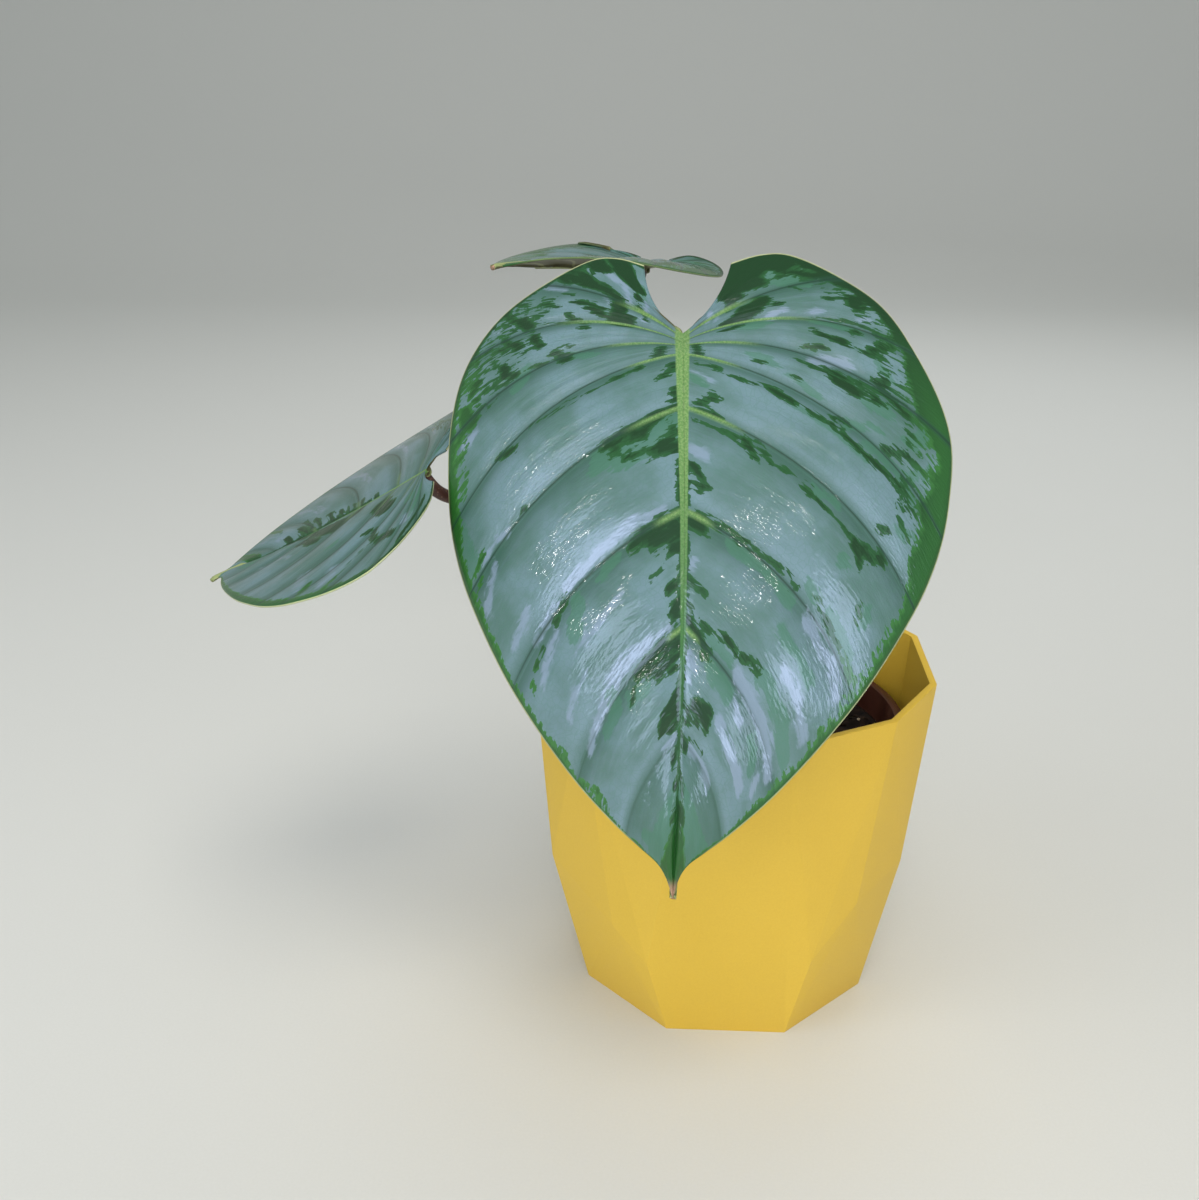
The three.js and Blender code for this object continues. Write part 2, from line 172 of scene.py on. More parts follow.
sweep = bmesh.new()
side = [
    sweep.verts.new((-FLOOR_HALF_WIDTH, FLOOR_FRONT, 0)),
    sweep.verts.new((-FLOOR_HALF_WIDTH, FLOOR_BACK, 0)),
]
for k in range(1, BEND_STEPS + 1):
    angle = math.radians(90 * k / BEND_STEPS)
    y = FLOOR_BACK + BACKDROP_RADIUS * math.sin(angle)
    side.append(sweep.verts.new((-FLOOR_HALF_WIDTH, y, BACKDROP_RADIUS * (1 - math.cos(angle)))))
side.append(sweep.verts.new((-FLOOR_HALF_WIDTH, side[-1].co.y, BACKDROP_HEIGHT)))
edges = [sweep.edges.new(pair) for pair in zip(side, side[1:])]
pulled = bmesh.ops.extrude_edge_only(sweep, edges=edges)["geom"]
across = [v for v in pulled if isinstance(v, bmesh.types.BMVert)]
bmesh.ops.translate(sweep, verts=across, vec=(2 * FLOOR_HALF_WIDTH, 0, 0))
bmesh.ops.recalc_face_normals(sweep, faces=sweep.faces)
floor_mesh = bpy.data.meshes.new("floor")
sweep.to_mesh(floor_mesh)
sweep.free()
floor_mesh.polygons.foreach_set("use_smooth", [True] * len(floor_mesh.polygons))
floor_mesh.materials.append(paper)
floor = bpy.data.objects.new("floor", floor_mesh)
bpy.context.scene.collection.objects.link(floor)
print("floor with", len(floor_mesh.polygons), "faces")

# %% Lights
# Places and sizes in metres. Every lamp is turned to the middle of the plant.
SKY_STRENGTH = 0.55
AIM = Vector((-0.01, 0, 0.16))

world = bpy.data.worlds.new("studio")
bpy.context.scene.world = world
world.use_nodes = True
world.node_tree.nodes["Background"].inputs["Color"].default_value = srgb("#dfe6ec")
world.node_tree.nodes["Background"].inputs["Strength"].default_value = SKY_STRENGTH

# "lit" and "mirrored" say whether a lamp brightens surfaces and whether it shows as a reflection.
# "beam" is the angle, in degrees, that a grid in front of the lamp leaves open.
LAMPS = [
    {"name": "ceiling", "place": (0.15, -0.8, 1.7), "size": (0.9, 0.9), "watts": 14, "colour": "#fff8ee",
     "lit": True, "mirrored": False},
    {"name": "front fill", "place": (0.05, -1.9, 0.75), "size": (1.2, 0.5), "watts": 2.3, "colour": "#f4f4ff",
     "lit": True, "mirrored": False, "beam": 60},
    {"name": "left fill", "place": (-1.3, -0.7, 0.9), "size": (0.8, 0.8), "watts": 6, "colour": "#eef3ff",
     "lit": True, "mirrored": False},
    {"name": "left window", "place": (-0.78, -1.1, 0.2), "size": (0.5, 0.36), "watts": 4.5,
     "colour": "#cddaff", "lit": False, "mirrored": True},
    {"name": "right window", "place": (0.5, -1.25, 0.2), "size": (0.5, 0.36), "watts": 4.5,
     "colour": "#cddaff", "lit": False, "mirrored": True},
    {"name": "rim", "place": (0.3, 1.1, 1.1), "size": (1.0, 1.0), "watts": 5, "colour": "#f3f7ff",
     "lit": True, "mirrored": False},
]
BULBS = 5
BULB = {
    "name": "bulb", "size": (0.025, 0.025), "watts": 0.25, "colour": "#ffffff",
    "lit": False, "mirrored": True,
}
BULB_STRINGS = [((-1.15, -0.7, 0.36), (-0.95, -0.95, 0.62)), ((-0.15, -1.35, 0.55), (0.5, -1.2, 0.8))]
for first, last in BULB_STRINGS:
    for k in range(BULBS):
        LAMPS.append({**BULB, "place": Vector(first).lerp(Vector(last), k / (BULBS - 1))})
for lamp in LAMPS:
    light = bpy.data.lights.new(lamp["name"], "AREA")
    light.shape = "RECTANGLE"
    light.size, light.size_y = lamp["size"]
    light.energy = lamp["watts"]
    light.color = srgb(lamp["colour"])[:3]
    holder = bpy.data.objects.new(lamp["name"], light)
    bpy.context.scene.collection.objects.link(holder)
    holder.location = lamp["place"]
    light.spread = math.radians(lamp.get("beam", 180))
    holder.visible_diffuse = lamp["lit"]
    holder.visible_glossy = lamp["mirrored"]
    holder.rotation_euler = (AIM - holder.location).to_track_quat("-Z", "Y").to_euler()
print("lamps:", len(LAMPS), "of which", sum(lamp["lit"] for lamp in LAMPS), "light the surfaces")

# %% [markdown]
# ## Planter
# The cover pot is moulded in one piece from a matt ochre plastic: flat facets that meet in soft edges,
# and a thin lip cut level. It could be built again from a ring of points, but the solid already has
# every facet, and only its edges are as sharp as knives. So a merged copy of it is bevelled, which
# rounds each edge as a mould does and lets the highlights run along the edges of the pot.

# %% A finished piece from a bmesh
def finished(bm, name, materials, node_name=None, smooth_angle=40):
    """Turns a bmesh into an object at the origin that rides on the frame."""
    mesh = bpy.data.meshes.new(name)
    bm.to_mesh(mesh)
    bm.free()
    for finish in materials:
        mesh.materials.append(finish)
    mesh.polygons.foreach_set("use_smooth", [True] * len(mesh.polygons))
    mesh.set_sharp_from_angle(angle=math.radians(smooth_angle))
    made = bpy.data.objects.new(name, mesh)
    bpy.context.scene.collection.objects.link(made)
    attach(made, "root")
    if node_name:
        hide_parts(node_name)
    print(name, len(mesh.vertices), "points", len(mesh.polygons), "faces")
    return made


def copy_of_node(name):
    """The node's solid with its loose triangles joined and its flat faces whole again."""
    bm = bmesh.new()
    bm.from_mesh(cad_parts[name].data)
    bmesh.ops.remove_doubles(bm, verts=bm.verts, dist=0.01 * MM)
    bmesh.ops.dissolve_limit(
        bm, angle_limit=math.radians(0.5), verts=bm.verts, edges=bm.edges, use_dissolve_boundaries=False,
    )
    return bm


# %% Planter finish: matt injection-moulded polypropylene
# Polypropylene from a spark-eroded mould scatters light widely, so the pot looks chalky and its colour
# hardly changes with the angle. The real grain is about 0.1 mm, too fine to show, so it is drawn at
# 0.7 mm, over slow clouds of colour as wide as a thumb is long.
MOULD_GRAIN = 0.7 * MM
MOULD_CLOUDS = 45.5 * MM

pp, tree = material("matt_moulded_polypropylene")
place = object_place(tree)
cloud = node(tree, "ShaderNodeTexNoise", {"Vector": place, "Scale": 1 / MOULD_CLOUDS, "Detail": 3.0})
speck = node(tree, "ShaderNodeTexNoise", {"Vector": place, "Scale": 1 / MOULD_GRAIN, "Detail": 2.0})
shade = mixed(tree, cloud.outputs["Fac"], srgb("#deb83a"), srgb("#e4bf42"))
fine = node(tree, "ShaderNodeMapRange", {
    "Value": speck.outputs["Fac"], "From Min": 0.35, "From Max": 0.65, "To Min": 0.0, "To Max": 0.18,
})
shade = mixed(tree, fine.outputs["Result"], shade, srgb("#d0a634"))
bump = node(tree, "ShaderNodeBump", {
    "Height": speck.outputs["Fac"], "Strength": 0.25, "Distance": 0.05 * MM,
})
finish_material(tree, {
    "Base Color": shade, "Roughness": 0.55, "IOR": 1.49, "Normal": bump.outputs["Normal"],
})

# %% Planter shell
EDGE_ROUNDING = 0.9 * MM

shell = copy_of_node("planter")
bmesh.ops.bevel(
    shell, geom=list(shell.edges), offset=EDGE_ROUNDING, segments=3, profile=0.5,
    affect="EDGES", clamp_overlap=True, material=-1,
)
finished(shell, "planter_shell", [pp], "planter", smooth_angle=30)

# %% [markdown]
# ## Nursery pot
# Inside the planter stands the thin pot that the plant was grown in. Such pots are blown or moulded
# from thin red-brown polypropylene, with a rolled lip that stiffens them and holes in the floor for
# water. A cone with its top cut off would do for the wall, but not for the lip. The whole section is
# drawn once instead and spun round the upright axis, and the holes are then cut out of the floor.

# %% Nursery pot finish: thin satin polypropylene
# Thin blown plastic is smoother than the cover pot and shines softly, and dried splashes of soil water
# make it duller and paler in patches about 9 mm wide.
DRIED_SPLASHES = 9 * MM

thin_pp, tree = material("thin_satin_polypropylene")
dust = node(tree, "ShaderNodeTexNoise", {
    "Vector": object_place(tree), "Scale": 1 / DRIED_SPLASHES, "Detail": 5.0,
})
shade = node(tree, "ShaderNodeValToRGB", {"Fac": dust.outputs["Fac"]}, stops=[
    (0.3, srgb("#40201a")), (0.6, srgb("#522b22")), (0.75, srgb("#644034")),
])
rough = node(tree, "ShaderNodeMapRange", {
    "Value": dust.outputs["Fac"], "From Min": 0.3, "From Max": 0.7, "To Min": 0.32, "To Max": 0.6,
})
finish_material(tree, {
    "Base Color": shade.outputs["Color"], "Roughness": rough.outputs["Result"], "IOR": 1.49,
})

# %% Nursery pot shape
# Sizes in millimetres, as in the solid.
LIP_TOP = 112.0
LIP_RADIUS = 68.5
LIP_WIDTH = 2.6
LIP_HEIGHT = 7.0
WALL = 1.4
FOOT = 4.3
FOOT_RADIUS = 47.0
DRAIN_HOLES = 6
DRAIN_RADIUS = 4.5
DRAIN_CIRCLE = 32.0
TURNING_STEPS = 96


def lerp(a, b, share):
    return a + (b - a) * share


def wall_radius(z):
    """Inner radius of the nursery pot at a height, in millimetres."""
    return lerp(FOOT_RADIUS, LIP_RADIUS - LIP_WIDTH, (z - FOOT) / (LIP_TOP - FOOT)) - WALL


inside = wall_radius(LIP_TOP)
profile = [
    (0, FOOT), (FOOT_RADIUS - 3, FOOT), (FOOT_RADIUS - 0.6, FOOT + 0.8), (FOOT_RADIUS + 0.4, FOOT + 3),
    (wall_radius(LIP_TOP - LIP_HEIGHT) + WALL, LIP_TOP - LIP_HEIGHT),
    (LIP_RADIUS - 0.9, LIP_TOP - LIP_HEIGHT), (LIP_RADIUS - 0.3, LIP_TOP - LIP_HEIGHT + 0.4),
    (LIP_RADIUS, LIP_TOP - 1.4), (LIP_RADIUS - 0.3, LIP_TOP - 0.5), (LIP_RADIUS - 1.1, LIP_TOP),
    (inside + 0.9, LIP_TOP), (inside + 0.25, LIP_TOP - 0.35), (inside, LIP_TOP - 1.1),
    (wall_radius(FOOT + WALL), FOOT + WALL), (0, FOOT + WALL),
]
turned = bmesh.new()
ring = [turned.verts.new((r * MM, 0, z * MM)) for r, z in profile]
line = [turned.edges.new(pair) for pair in zip(ring, ring[1:])]
bmesh.ops.spin(
    turned, geom=ring + line, cent=(0, 0, 0), axis=(0, 0, 1), dvec=(0, 0, 0),
    angle=2 * math.pi, steps=TURNING_STEPS, use_merge=True, use_duplicate=False,
)
bmesh.ops.remove_doubles(turned, verts=turned.verts, dist=0.001 * MM)
bmesh.ops.recalc_face_normals(turned, faces=turned.faces)
nursery = finished(turned, "grower_pot", [thin_pp], "nursery_pot")

# %% Drain holes
DRILL_LENGTH = 8.0
DRILL_SIDES = 24

drill = bmesh.new()
for k in range(DRAIN_HOLES):
    angle = 2 * math.pi * k / DRAIN_HOLES
    centre = Vector((DRAIN_CIRCLE * math.cos(angle), DRAIN_CIRCLE * math.sin(angle), FOOT)) * MM
    bmesh.ops.create_cone(
        drill, cap_ends=True, segments=DRILL_SIDES, radius1=DRAIN_RADIUS * MM,
        radius2=DRAIN_RADIUS * MM, depth=DRILL_LENGTH * MM, matrix=Matrix.Translation(centre),
    )
drill_mesh = bpy.data.meshes.new("drill")
drill.to_mesh(drill_mesh)
drill.free()
drill_object = bpy.data.objects.new("drill", drill_mesh)
bpy.context.scene.collection.objects.link(drill_object)
cut = nursery.modifiers.new("drain holes", "BOOLEAN")
cut.operation = "DIFFERENCE"
cut.solver = "EXACT"
cut.object = drill_object
bpy.context.view_layer.update()
drilled = bpy.data.meshes.new_from_object(nursery.evaluated_get(bpy.context.evaluated_depsgraph_get()))
nursery.modifiers.clear()
nursery.data = drilled
bpy.data.objects.remove(drill_object)
print("grower pot drilled:", len(drilled.polygons), "faces")

# %% [markdown]
# ## Soil
# Potting mix is peat and bark crumbs with a few grains of perlite and slow-release feed. From a step
# away it is nearly black with pale dots. A bump in the material alone would leave its surface flat
# where the eye looks along it, so a fine grid, drawn in to a disc, is raised by the solid's slow
# waves and by noise for the crumbs. Loose crumbs and pale grains are then scattered over it.

# %% Soil finish: moist peat and bark
# Moist peat swallows nearly all light and has no shine. Bark crumbs of about 4 mm stay a little paler.
CLODS = 4 * MM

peat, tree = material("moist_peat_and_bark")
clods = node(tree, "ShaderNodeTexNoise", {"Vector": object_place(tree), "Scale": 1 / CLODS, "Detail": 6.0})
shade = node(tree, "ShaderNodeValToRGB", {"Fac": clods.outputs["Fac"]}, stops=[
    (0.3, srgb("#0d0907")), (0.52, srgb("#1b130f")), (0.66, srgb("#2d2018")), (0.74, srgb("#463627")),
])
bump = node(tree, "ShaderNodeBump", {
    "Height": clods.outputs["Fac"], "Strength": 0.9, "Distance": 1.2 * MM,
})
finish_material(tree, {
    "Base Color": shade.outputs["Color"], "Roughness": 0.92, "Normal": bump.outputs["Normal"],
})

# %% Grain finish: perlite and slow-release feed
# Perlite is a white foamed glass that peat water stains, so its grains are cream to fawn and dull.
STAINS = 3 * MM

perlite, tree = material("perlite_and_feed_grains")
stain = node(tree, "ShaderNodeTexNoise", {"Vector": object_place(tree), "Scale": 1 / STAINS, "Detail": 3.0})
shade = mixed(tree, stain.outputs["Fac"], srgb("#a3927a"), srgb("#ddd5c5"))
finish_material(tree, {"Base Color": shade, "Roughness": 0.85})

# %% Soil surface
# GAP keeps the soil off the pot's wall, as in the solid. The grid's cells are under 1 mm.
SOIL_TOP = 101.0
SOIL_ROUGHNESS = 1.3
GAP = 0.3
STEM_FOOT = Vector((0, 8, SOIL_TOP - 26))
STEM_RADIUS = 7.0
STEM_TOP_RADIUS = 5.0
STEM_LENGTH = 48.0
CRUMB_SIZE = 3.2
CRUMB_HEIGHT = 0.8
SOIL_GRID = 150
soil_radius = wall_radius(SOIL_TOP) - GAP
soil_foot = FOOT + WALL + GAP


def soil_height(x, y):
    """Height of the soil at a place, in millimetres: the solid's slow waves and finer crumbs."""
    waves = math.sin(x * 0.43 + 1.1) * math.sin(y * 0.37 - 0.6) + 0.7 * math.sin(x * 0.19 - y * 0.53)
    fade = 1 - min(1.0, math.hypot(x, y) / (soil_radius + GAP)) ** 8
    crumbs = noise.fractal(Vector((x, y, 3.0)) / CRUMB_SIZE, 0.9, 2.1, 4) * CRUMB_HEIGHT
    return SOIL_TOP + (SOIL_ROUGHNESS * waves + crumbs) * fade


bed = bmesh.new()
bmesh.ops.create_grid(bed, x_segments=SOIL_GRID, y_segments=SOIL_GRID, size=soil_radius * MM)
# The square grid is drawn in to a disc: each place keeps its direction, and its distance becomes
# that of the square's edge in that direction.
for vert in bed.verts:
    x, y = vert.co.x, vert.co.y
    longest = max(abs(x), abs(y))
    if longest > 0:
        shrink = longest / math.hypot(x, y)
        vert.co.x, vert.co.y = x * shrink, y * shrink
    vert.co.z = soil_height(vert.co.x / MM, vert.co.y / MM) * MM
rim = [edge for edge in bed.edges if edge.is_boundary]
for height in (SOIL_TOP - 4, lerp(soil_foot, SOIL_TOP, 0.5), soil_foot):
    pulled = bmesh.ops.extrude_edge_only(bed, edges=rim)["geom"]
    rim = [e for e in pulled if isinstance(e, bmesh.types.BMEdge)]
    radius = wall_radius(height) - GAP
    for vert in [v for v in pulled if isinstance(v, bmesh.types.BMVert)]:
        flat = Vector((vert.co.x, vert.co.y, 0)).normalized() * radius * MM
        vert.co = (flat.x, flat.y, height * MM)
bmesh.ops.holes_fill(bed, edges=rim, sides=0)
bmesh.ops.recalc_face_normals(bed, faces=bed.faces)
finished(bed, "potting_mix", [peat], "soil", smooth_angle=180)

# %% Loose crumbs and grains
CRUMBS = 420
GRAINS = 46
CLEAR_OF_STEM = 3.0
CLEAR_OF_WALL = 0.965
UNEVEN = 0.22


def scattered(count, sizes, flatness, seed):
    """Small uneven lumps that lie on the soil, between its wall and the stem."""
    draw = random.Random(seed)
    bm = bmesh.new()
    placed = 0
    while placed < count:
        radius = soil_radius * math.sqrt(draw.random()) * CLEAR_OF_WALL
        angle = draw.uniform(0, 2 * math.pi)
        x, y = radius * math.cos(angle), radius * math.sin(angle)
        if math.hypot(x - STEM_FOOT.x, y - STEM_FOOT.y) < STEM_RADIUS + CLEAR_OF_STEM:
            continue
        size = draw.uniform(*sizes)
        turn = Matrix.Rotation(draw.uniform(0, math.pi), 4, "Z")
        tilt = Matrix.Rotation(draw.uniform(-0.5, 0.5), 4, "X")
        shape = Matrix.Diagonal((1.0, draw.uniform(0.5, 0.9), draw.uniform(*flatness), 1.0))
        spot = Matrix.Translation(Vector((x, y, soil_height(x, y) + 0.1 * size)) * MM)
        lump = bmesh.ops.create_icosphere(
            bm, subdivisions=1, radius=size * MM, matrix=spot @ turn @ tilt @ shape,
        )["verts"]
        for vert in lump:
            vert.co += Vector([draw.uniform(-UNEVEN, UNEVEN) * size * MM for _ in range(3)])
        placed += 1
    return bm


finished(scattered(CRUMBS, (0.5, 2.0), (0.3, 0.8), 5), "bark_crumbs", [peat], smooth_angle=50)
finished(scattered(GRAINS, (0.45, 1.1), (0.7, 1.0), 8), "pale_grains", [perlite], smooth_angle=50)

# %% [markdown]
# ## Stem and stalks
# An old Philodendron stem is short, ringed with the scars of dropped leaves, and rises straight out of
# the soil. Each leaf stands on a round stalk, the petiole: dark wine-brown, finely freckled, thicker
# where it clasps the stem and again just under the blade. The stem is a profile spun round its axis. A
# stalk could be a curve with a bevel, but its radius changes unevenly, so a circle is extruded step by
# step along the same route that the solid follows, with its radius read from a short list.

# %% Stem finish: green rind with leaf scars
# The rind is green and waxy, and a corky brown ring is left where each old leaf dropped off.
SCAR_SPACING = 11 * MM
RIND_BLOTCHES = 5 * MM

bark, tree = material("green_stem_with_scars")
place = object_place(tree)
rings = node(tree, "ShaderNodeTexWave", {
    "Vector": place, "Scale": 1 / SCAR_SPACING, "Distortion": 2.5, "Detail": 3.0,
}, wave_type="BANDS", bands_direction="Z")
blotch = node(tree, "ShaderNodeTexNoise", {"Vector": place, "Scale": 1 / RIND_BLOTCHES, "Detail": 4.0})
shade = mixed(tree, blotch.outputs["Fac"], srgb("#5f7036"), srgb("#7d8748"))
scars = node(tree, "ShaderNodeMapRange", {"Value": rings.outputs["Fac"], "From Min": 0.72, "From Max": 0.9})
shade = mixed(tree, scars.outputs["Result"], shade, srgb("#5a4127"))
bump = node(tree, "ShaderNodeBump", {
    "Height": rings.outputs["Fac"], "Strength": 0.6, "Distance": 0.5 * MM,
})
finish_material(tree, {"Base Color": shade, "Roughness": 0.55, "Normal": bump.outputs["Normal"]})

# %% Stalk finish: wine-brown petiole skin
# The skin is smooth and a little shiny, and small corky freckles make it look dusty from a step away.
FRECKLES = 1.1 * MM
STALK_DRIFT = 28 * MM

wine, tree = material("wine_brown_petiole_skin")
place = object_place(tree)
freckle = node(tree, "ShaderNodeTexVoronoi", {"Vector": place, "Scale": 1 / FRECKLES, "Randomness": 1.0})
dots = node(tree, "ShaderNodeMapRange", {
    "Value": freckle.outputs["Distance"], "From Min": 0.18, "From Max": 0.34, "To Min": 0.55, "To Max": 0.0,
})
drift = node(tree, "ShaderNodeTexNoise", {"Vector": place, "Scale": 1 / STALK_DRIFT, "Detail": 3.0})
shade = mixed(tree, drift.outputs["Fac"], srgb("#33201c"), srgb("#54352a"))
shade = mixed(tree, dots.outputs["Result"], shade, srgb("#8a6a4c"))
bump = node(tree, "ShaderNodeBump", {
    "Height": freckle.outputs["Distance"], "Strength": 0.35, "Distance": 0.12 * MM,
})
finish_material(tree, {
    "Base Color": shade, "Roughness": 0.4, "IOR": 1.45, "Normal": bump.outputs["Normal"],
})

# %% Stem
STEM_SIDES = 40
STEM_DOME = 3.0
STEM_SCARS = 8
SCAR_SWELLING = 0.7

profile = [(0, 0), (STEM_RADIUS, 0)]
for k in range(4 * STEM_SCARS + 1):
    share = k / (4 * STEM_SCARS)
    swelling = SCAR_SWELLING * math.sin(math.pi * share * STEM_SCARS / 2) ** 4
    profile.append((lerp(STEM_RADIUS, STEM_TOP_RADIUS, share) + swelling, STEM_LENGTH * share))
profile += [(0.75 * STEM_TOP_RADIUS, STEM_LENGTH + 0.6 * STEM_DOME), (0, STEM_LENGTH + STEM_DOME)]
trunk = bmesh.new()
points = [trunk.verts.new((STEM_FOOT + Vector((r, 0, z))) * MM) for r, z in profile]
line = [trunk.edges.new(pair) for pair in zip(points, points[1:])]
bmesh.ops.spin(
    trunk, geom=points + line, cent=STEM_FOOT * MM, axis=(0, 0, 1), dvec=(0, 0, 0),
    angle=2 * math.pi, steps=STEM_SIDES, use_merge=True, use_duplicate=False,
)
bmesh.ops.remove_doubles(trunk, verts=trunk.verts, dist=0.001 * MM)
bmesh.ops.recalc_face_normals(trunk, faces=trunk.faces)
finished(trunk, "leaf_scarred_stem", [bark], "stem", smooth_angle=60)

# %% [markdown]
# ## The three leaves as numbers
# A leaf is a flat heart that has been bent. It could be pulled into shape by hand in sculpt mode, but
# numbers let three leaves share one form and keep to their solids. The flat shape is the same for all
# three: half an outline, and the side veins that cross it from the midrib to the edge. Any place on it
# is named by two numbers, the vein it lies on (0 at the notch, 9 at the tip) and how far out it is (0
# on the midrib, 1 on the edge). Each leaf then has its own slope, bend, fold and curl.

# %% Leaf shapes
MIDRIB = 183.0
OUTLINE = [
    (14.5, -25.5), (24, -29), (34, -29.5), (50, -24), (67, -15.5), (79, -4.5), (86.5, 9), (89.8, 28),
    (89, 48), (86.5, 64), (81, 80), (72.5, 96), (61, 114), (47.5, 131), (33, 147), (20, 159),
    (10.5, 166.5), (5, 171), (2, 176), (0, 183),
]
# Each side vein: where it leaves the midrib, the number of the outline point that it runs to, and how
# far it bulges towards the base as a share of its length.
VEINS = [
    (-1.5, 0, -0.11), (0, 3.1, 0.06), (1.2, 5.4, 0.11), (2.4, 7.1, 0.12), (5, 8.9, 0.12),
    (22, 10.4, 0.1), (55, 12.2, 0.1), (92, 14, 0.09), (127, 15.4, 0.08), (183, 19, 0),
]
LAST_VEIN = len(VEINS) - 1
THICKNESS = 0.9
RIB_DEPTH = 1.8
RIB_HALF_WIDTH = 3.2
# Where along the flat midrib a shoulder is trimmed most, how far that reaches, how long the lobes are,
# and the width over which a half turns by its angle of curl.
SHOULDER_PLACE = -3.0
SHOULDER_REACH = 22.0
LOBE_LENGTH = 30.0
CURL_WIDTH = 50.0
# Angles are in degrees and pairs give the half on the leaf's own right first. heading is the compass
# direction of the midrib and pitch its slope downwards at the joint; bend and lobe_bend add to it
# towards the tip and the lobes. fold is the angle at which a half falls away, fold_change how much
# that changes to the tip, and route the way of the stalk from the stem to the joint.
LEAVES = {
    "large": {
        "joint": (-22.6, -59.3, 271.8), "length": 183, "heading": -99.5, "pitch": 61, "bend": 24,
        "lobe_bend": -4, "roll": 3.1, "fold": (6, 6), "fold_change": (0, 0), "curl": (13, 13),
        "lobes": 1, "shoulder": (0, 0.08), "bow": -3.4, "quilting": 2.2, "columns": 120, "rows": 22,
        "radii": (4.6, 3, 2.6, 2.5, 2.6, 3.1),
        "route": ((2, 0.4, 103), (-1, -2, 150), (-8, -8, 205), (-16, -28, 246)),
    },
    "left": {
        "joint": (-112.3, -30.7, 218.2), "length": 120, "heading": 178, "pitch": 40, "bend": -8,
        "lobe_bend": -69, "roll": -33, "fold": (14, -13), "fold_change": (1, -16), "curl": (12, -3),
        "lobes": 0.4, "shoulder": (0, 0), "bow": 0, "quilting": 1.2, "columns": 80, "rows": 14,
        "radii": (4, 2.5, 2.1, 2, 2.1, 2.5),
        "route": ((-8, 9.5, 104), (-24, 8, 142), (-52, -2, 180), (-86, -18, 200)),
    },
    "back": {
        "joint": (-37.1, 63.3, 275.8), "length": 86, "heading": 234, "pitch": -10, "bend": 7,
        "lobe_bend": 69, "roll": 18.7, "fold": (-36, 3), "fold_change": (23, -6), "curl": (22, 39),
        "lobes": 0.66, "shoulder": (0, 0), "bow": 0, "quilting": 0.9, "columns": 80, "rows": 14,
        "radii": (3.8, 2.2, 1.8, 1.7, 1.8, 2.4),
        "route": ((3, 15.6, 104), (0, 28, 150), (-13, 44, 205), (-29, 57, 252)),
    },
}
print("leaves:", {name: leaf["length"] for name, leaf in LEAVES.items()}, "mm long")


# %% From a numbered place to a bent leaf
def outline_point(place):
    """The outline as a smooth curve through its points, read at a point number."""
    lower = min(int(place), len(OUTLINE) - 2)
    t = place - lower
    picked = [OUTLINE[min(max(lower + k, 0), len(OUTLINE) - 1)] for k in (-1, 0, 1, 2)]
    a, b, c, d = (Vector(p) for p in picked)
    in_slope, out_slope = (c - a) / 2, (d - b) / 2
    cubic = 2 * b - 2 * c + in_slope + out_slope
    square = -3 * b + 3 * c - 2 * in_slope - out_slope
    return ((cubic * t + square) * t + in_slope) * t + b


def vein_value(column, vein):
    lower = min(int(vein), LAST_VEIN - 1)
    return lerp(VEINS[lower][column], VEINS[lower + 1][column], vein - lower)


def flat_point(vein, out):
    """Flat place in millimetres on one half, for a vein number and a share of the way out."""
    start = Vector((0, vein_value(0, vein)))
    end = outline_point(vein_value(1, vein))
    chord = end - start
    bulge = Vector((chord.y, -chord.x)) * 2 * vein_value(2, vein)
    control = (start + end) / 2 + bulge
    return start * (1 - out) ** 2 + control * 2 * out * (1 - out) + end * out * out


def bent(leaf, x, y, hold):
    """Point and upward normal, in millimetres, of a flat place once the leaf is bent and folded."""
    scale = leaf["length"] / MIDRIB
    along = (y * leaf["lobes"] if y < 0 else y) * scale
    half = 1 if x < 0 else 0
    outward = -1 if x < 0 else 1
    trim = leaf["shoulder"][half] * math.exp(-((y - SHOULDER_PLACE) / SHOULDER_REACH) ** 2)
    across = abs(x) * scale * (1 - trim)
    heading = math.radians(leaf["heading"])
    forward = Vector((math.cos(heading), math.sin(heading), 0))
    right = Vector((math.sin(heading), -math.cos(heading), 0))
    up = Vector((0, 0, 1))
    turn = math.radians(leaf["bend"]) / leaf["length"]
    if along < 0:
        turn = -math.radians(leaf["lobe_bend"]) / (LOBE_LENGTH * scale)
    pitch = math.radians(leaf["pitch"])
    slope = pitch + turn * along
    point = forward * ((math.sin(slope) - math.sin(pitch)) / turn)
    point += up * ((math.cos(slope) - math.cos(pitch)) / turn)
    above = forward * math.sin(slope) + up * math.cos(slope)
    share = min(1.0, max(-0.2, along / leaf["length"]))
    folds = [math.radians(leaf["fold"][k] + leaf["fold_change"][k] * share) for k in (0, 1)]
    curl = math.radians(leaf["curl"][half]) / CURL_WIDTH
    fall = folds[half] + curl * across
    point += right * (outward * (math.sin(fall) - math.sin(folds[half])) / curl)
    point += above * ((math.cos(fall) - math.cos(folds[half])) / curl)
    point += right * leaf["bow"] * hold * math.sin(math.pi * max(0, y / MIDRIB))
    lean = outward * fall if across > 0 else (folds[0] - folds[1]) / 2
    normal = above * math.cos(lean) + right * math.sin(lean)
    roll = Matrix.Rotation(math.radians(leaf["roll"]), 3, forward)
    return roll @ point + Vector(leaf["joint"]), roll @ normal


print("tip of the large leaf", [round(x, 1) for x in bent(LEAVES["large"], 0, MIDRIB, 1)[0]])

# %% Stalks
STALK_SIDES = 20
STALK_STEPS = 90
ROUTE_STEPS = 900
# The last stretch of a stalk, square to the blade, and how far past the joint it meets the midrib.
NECK = 9.0
SEAT = 2.5


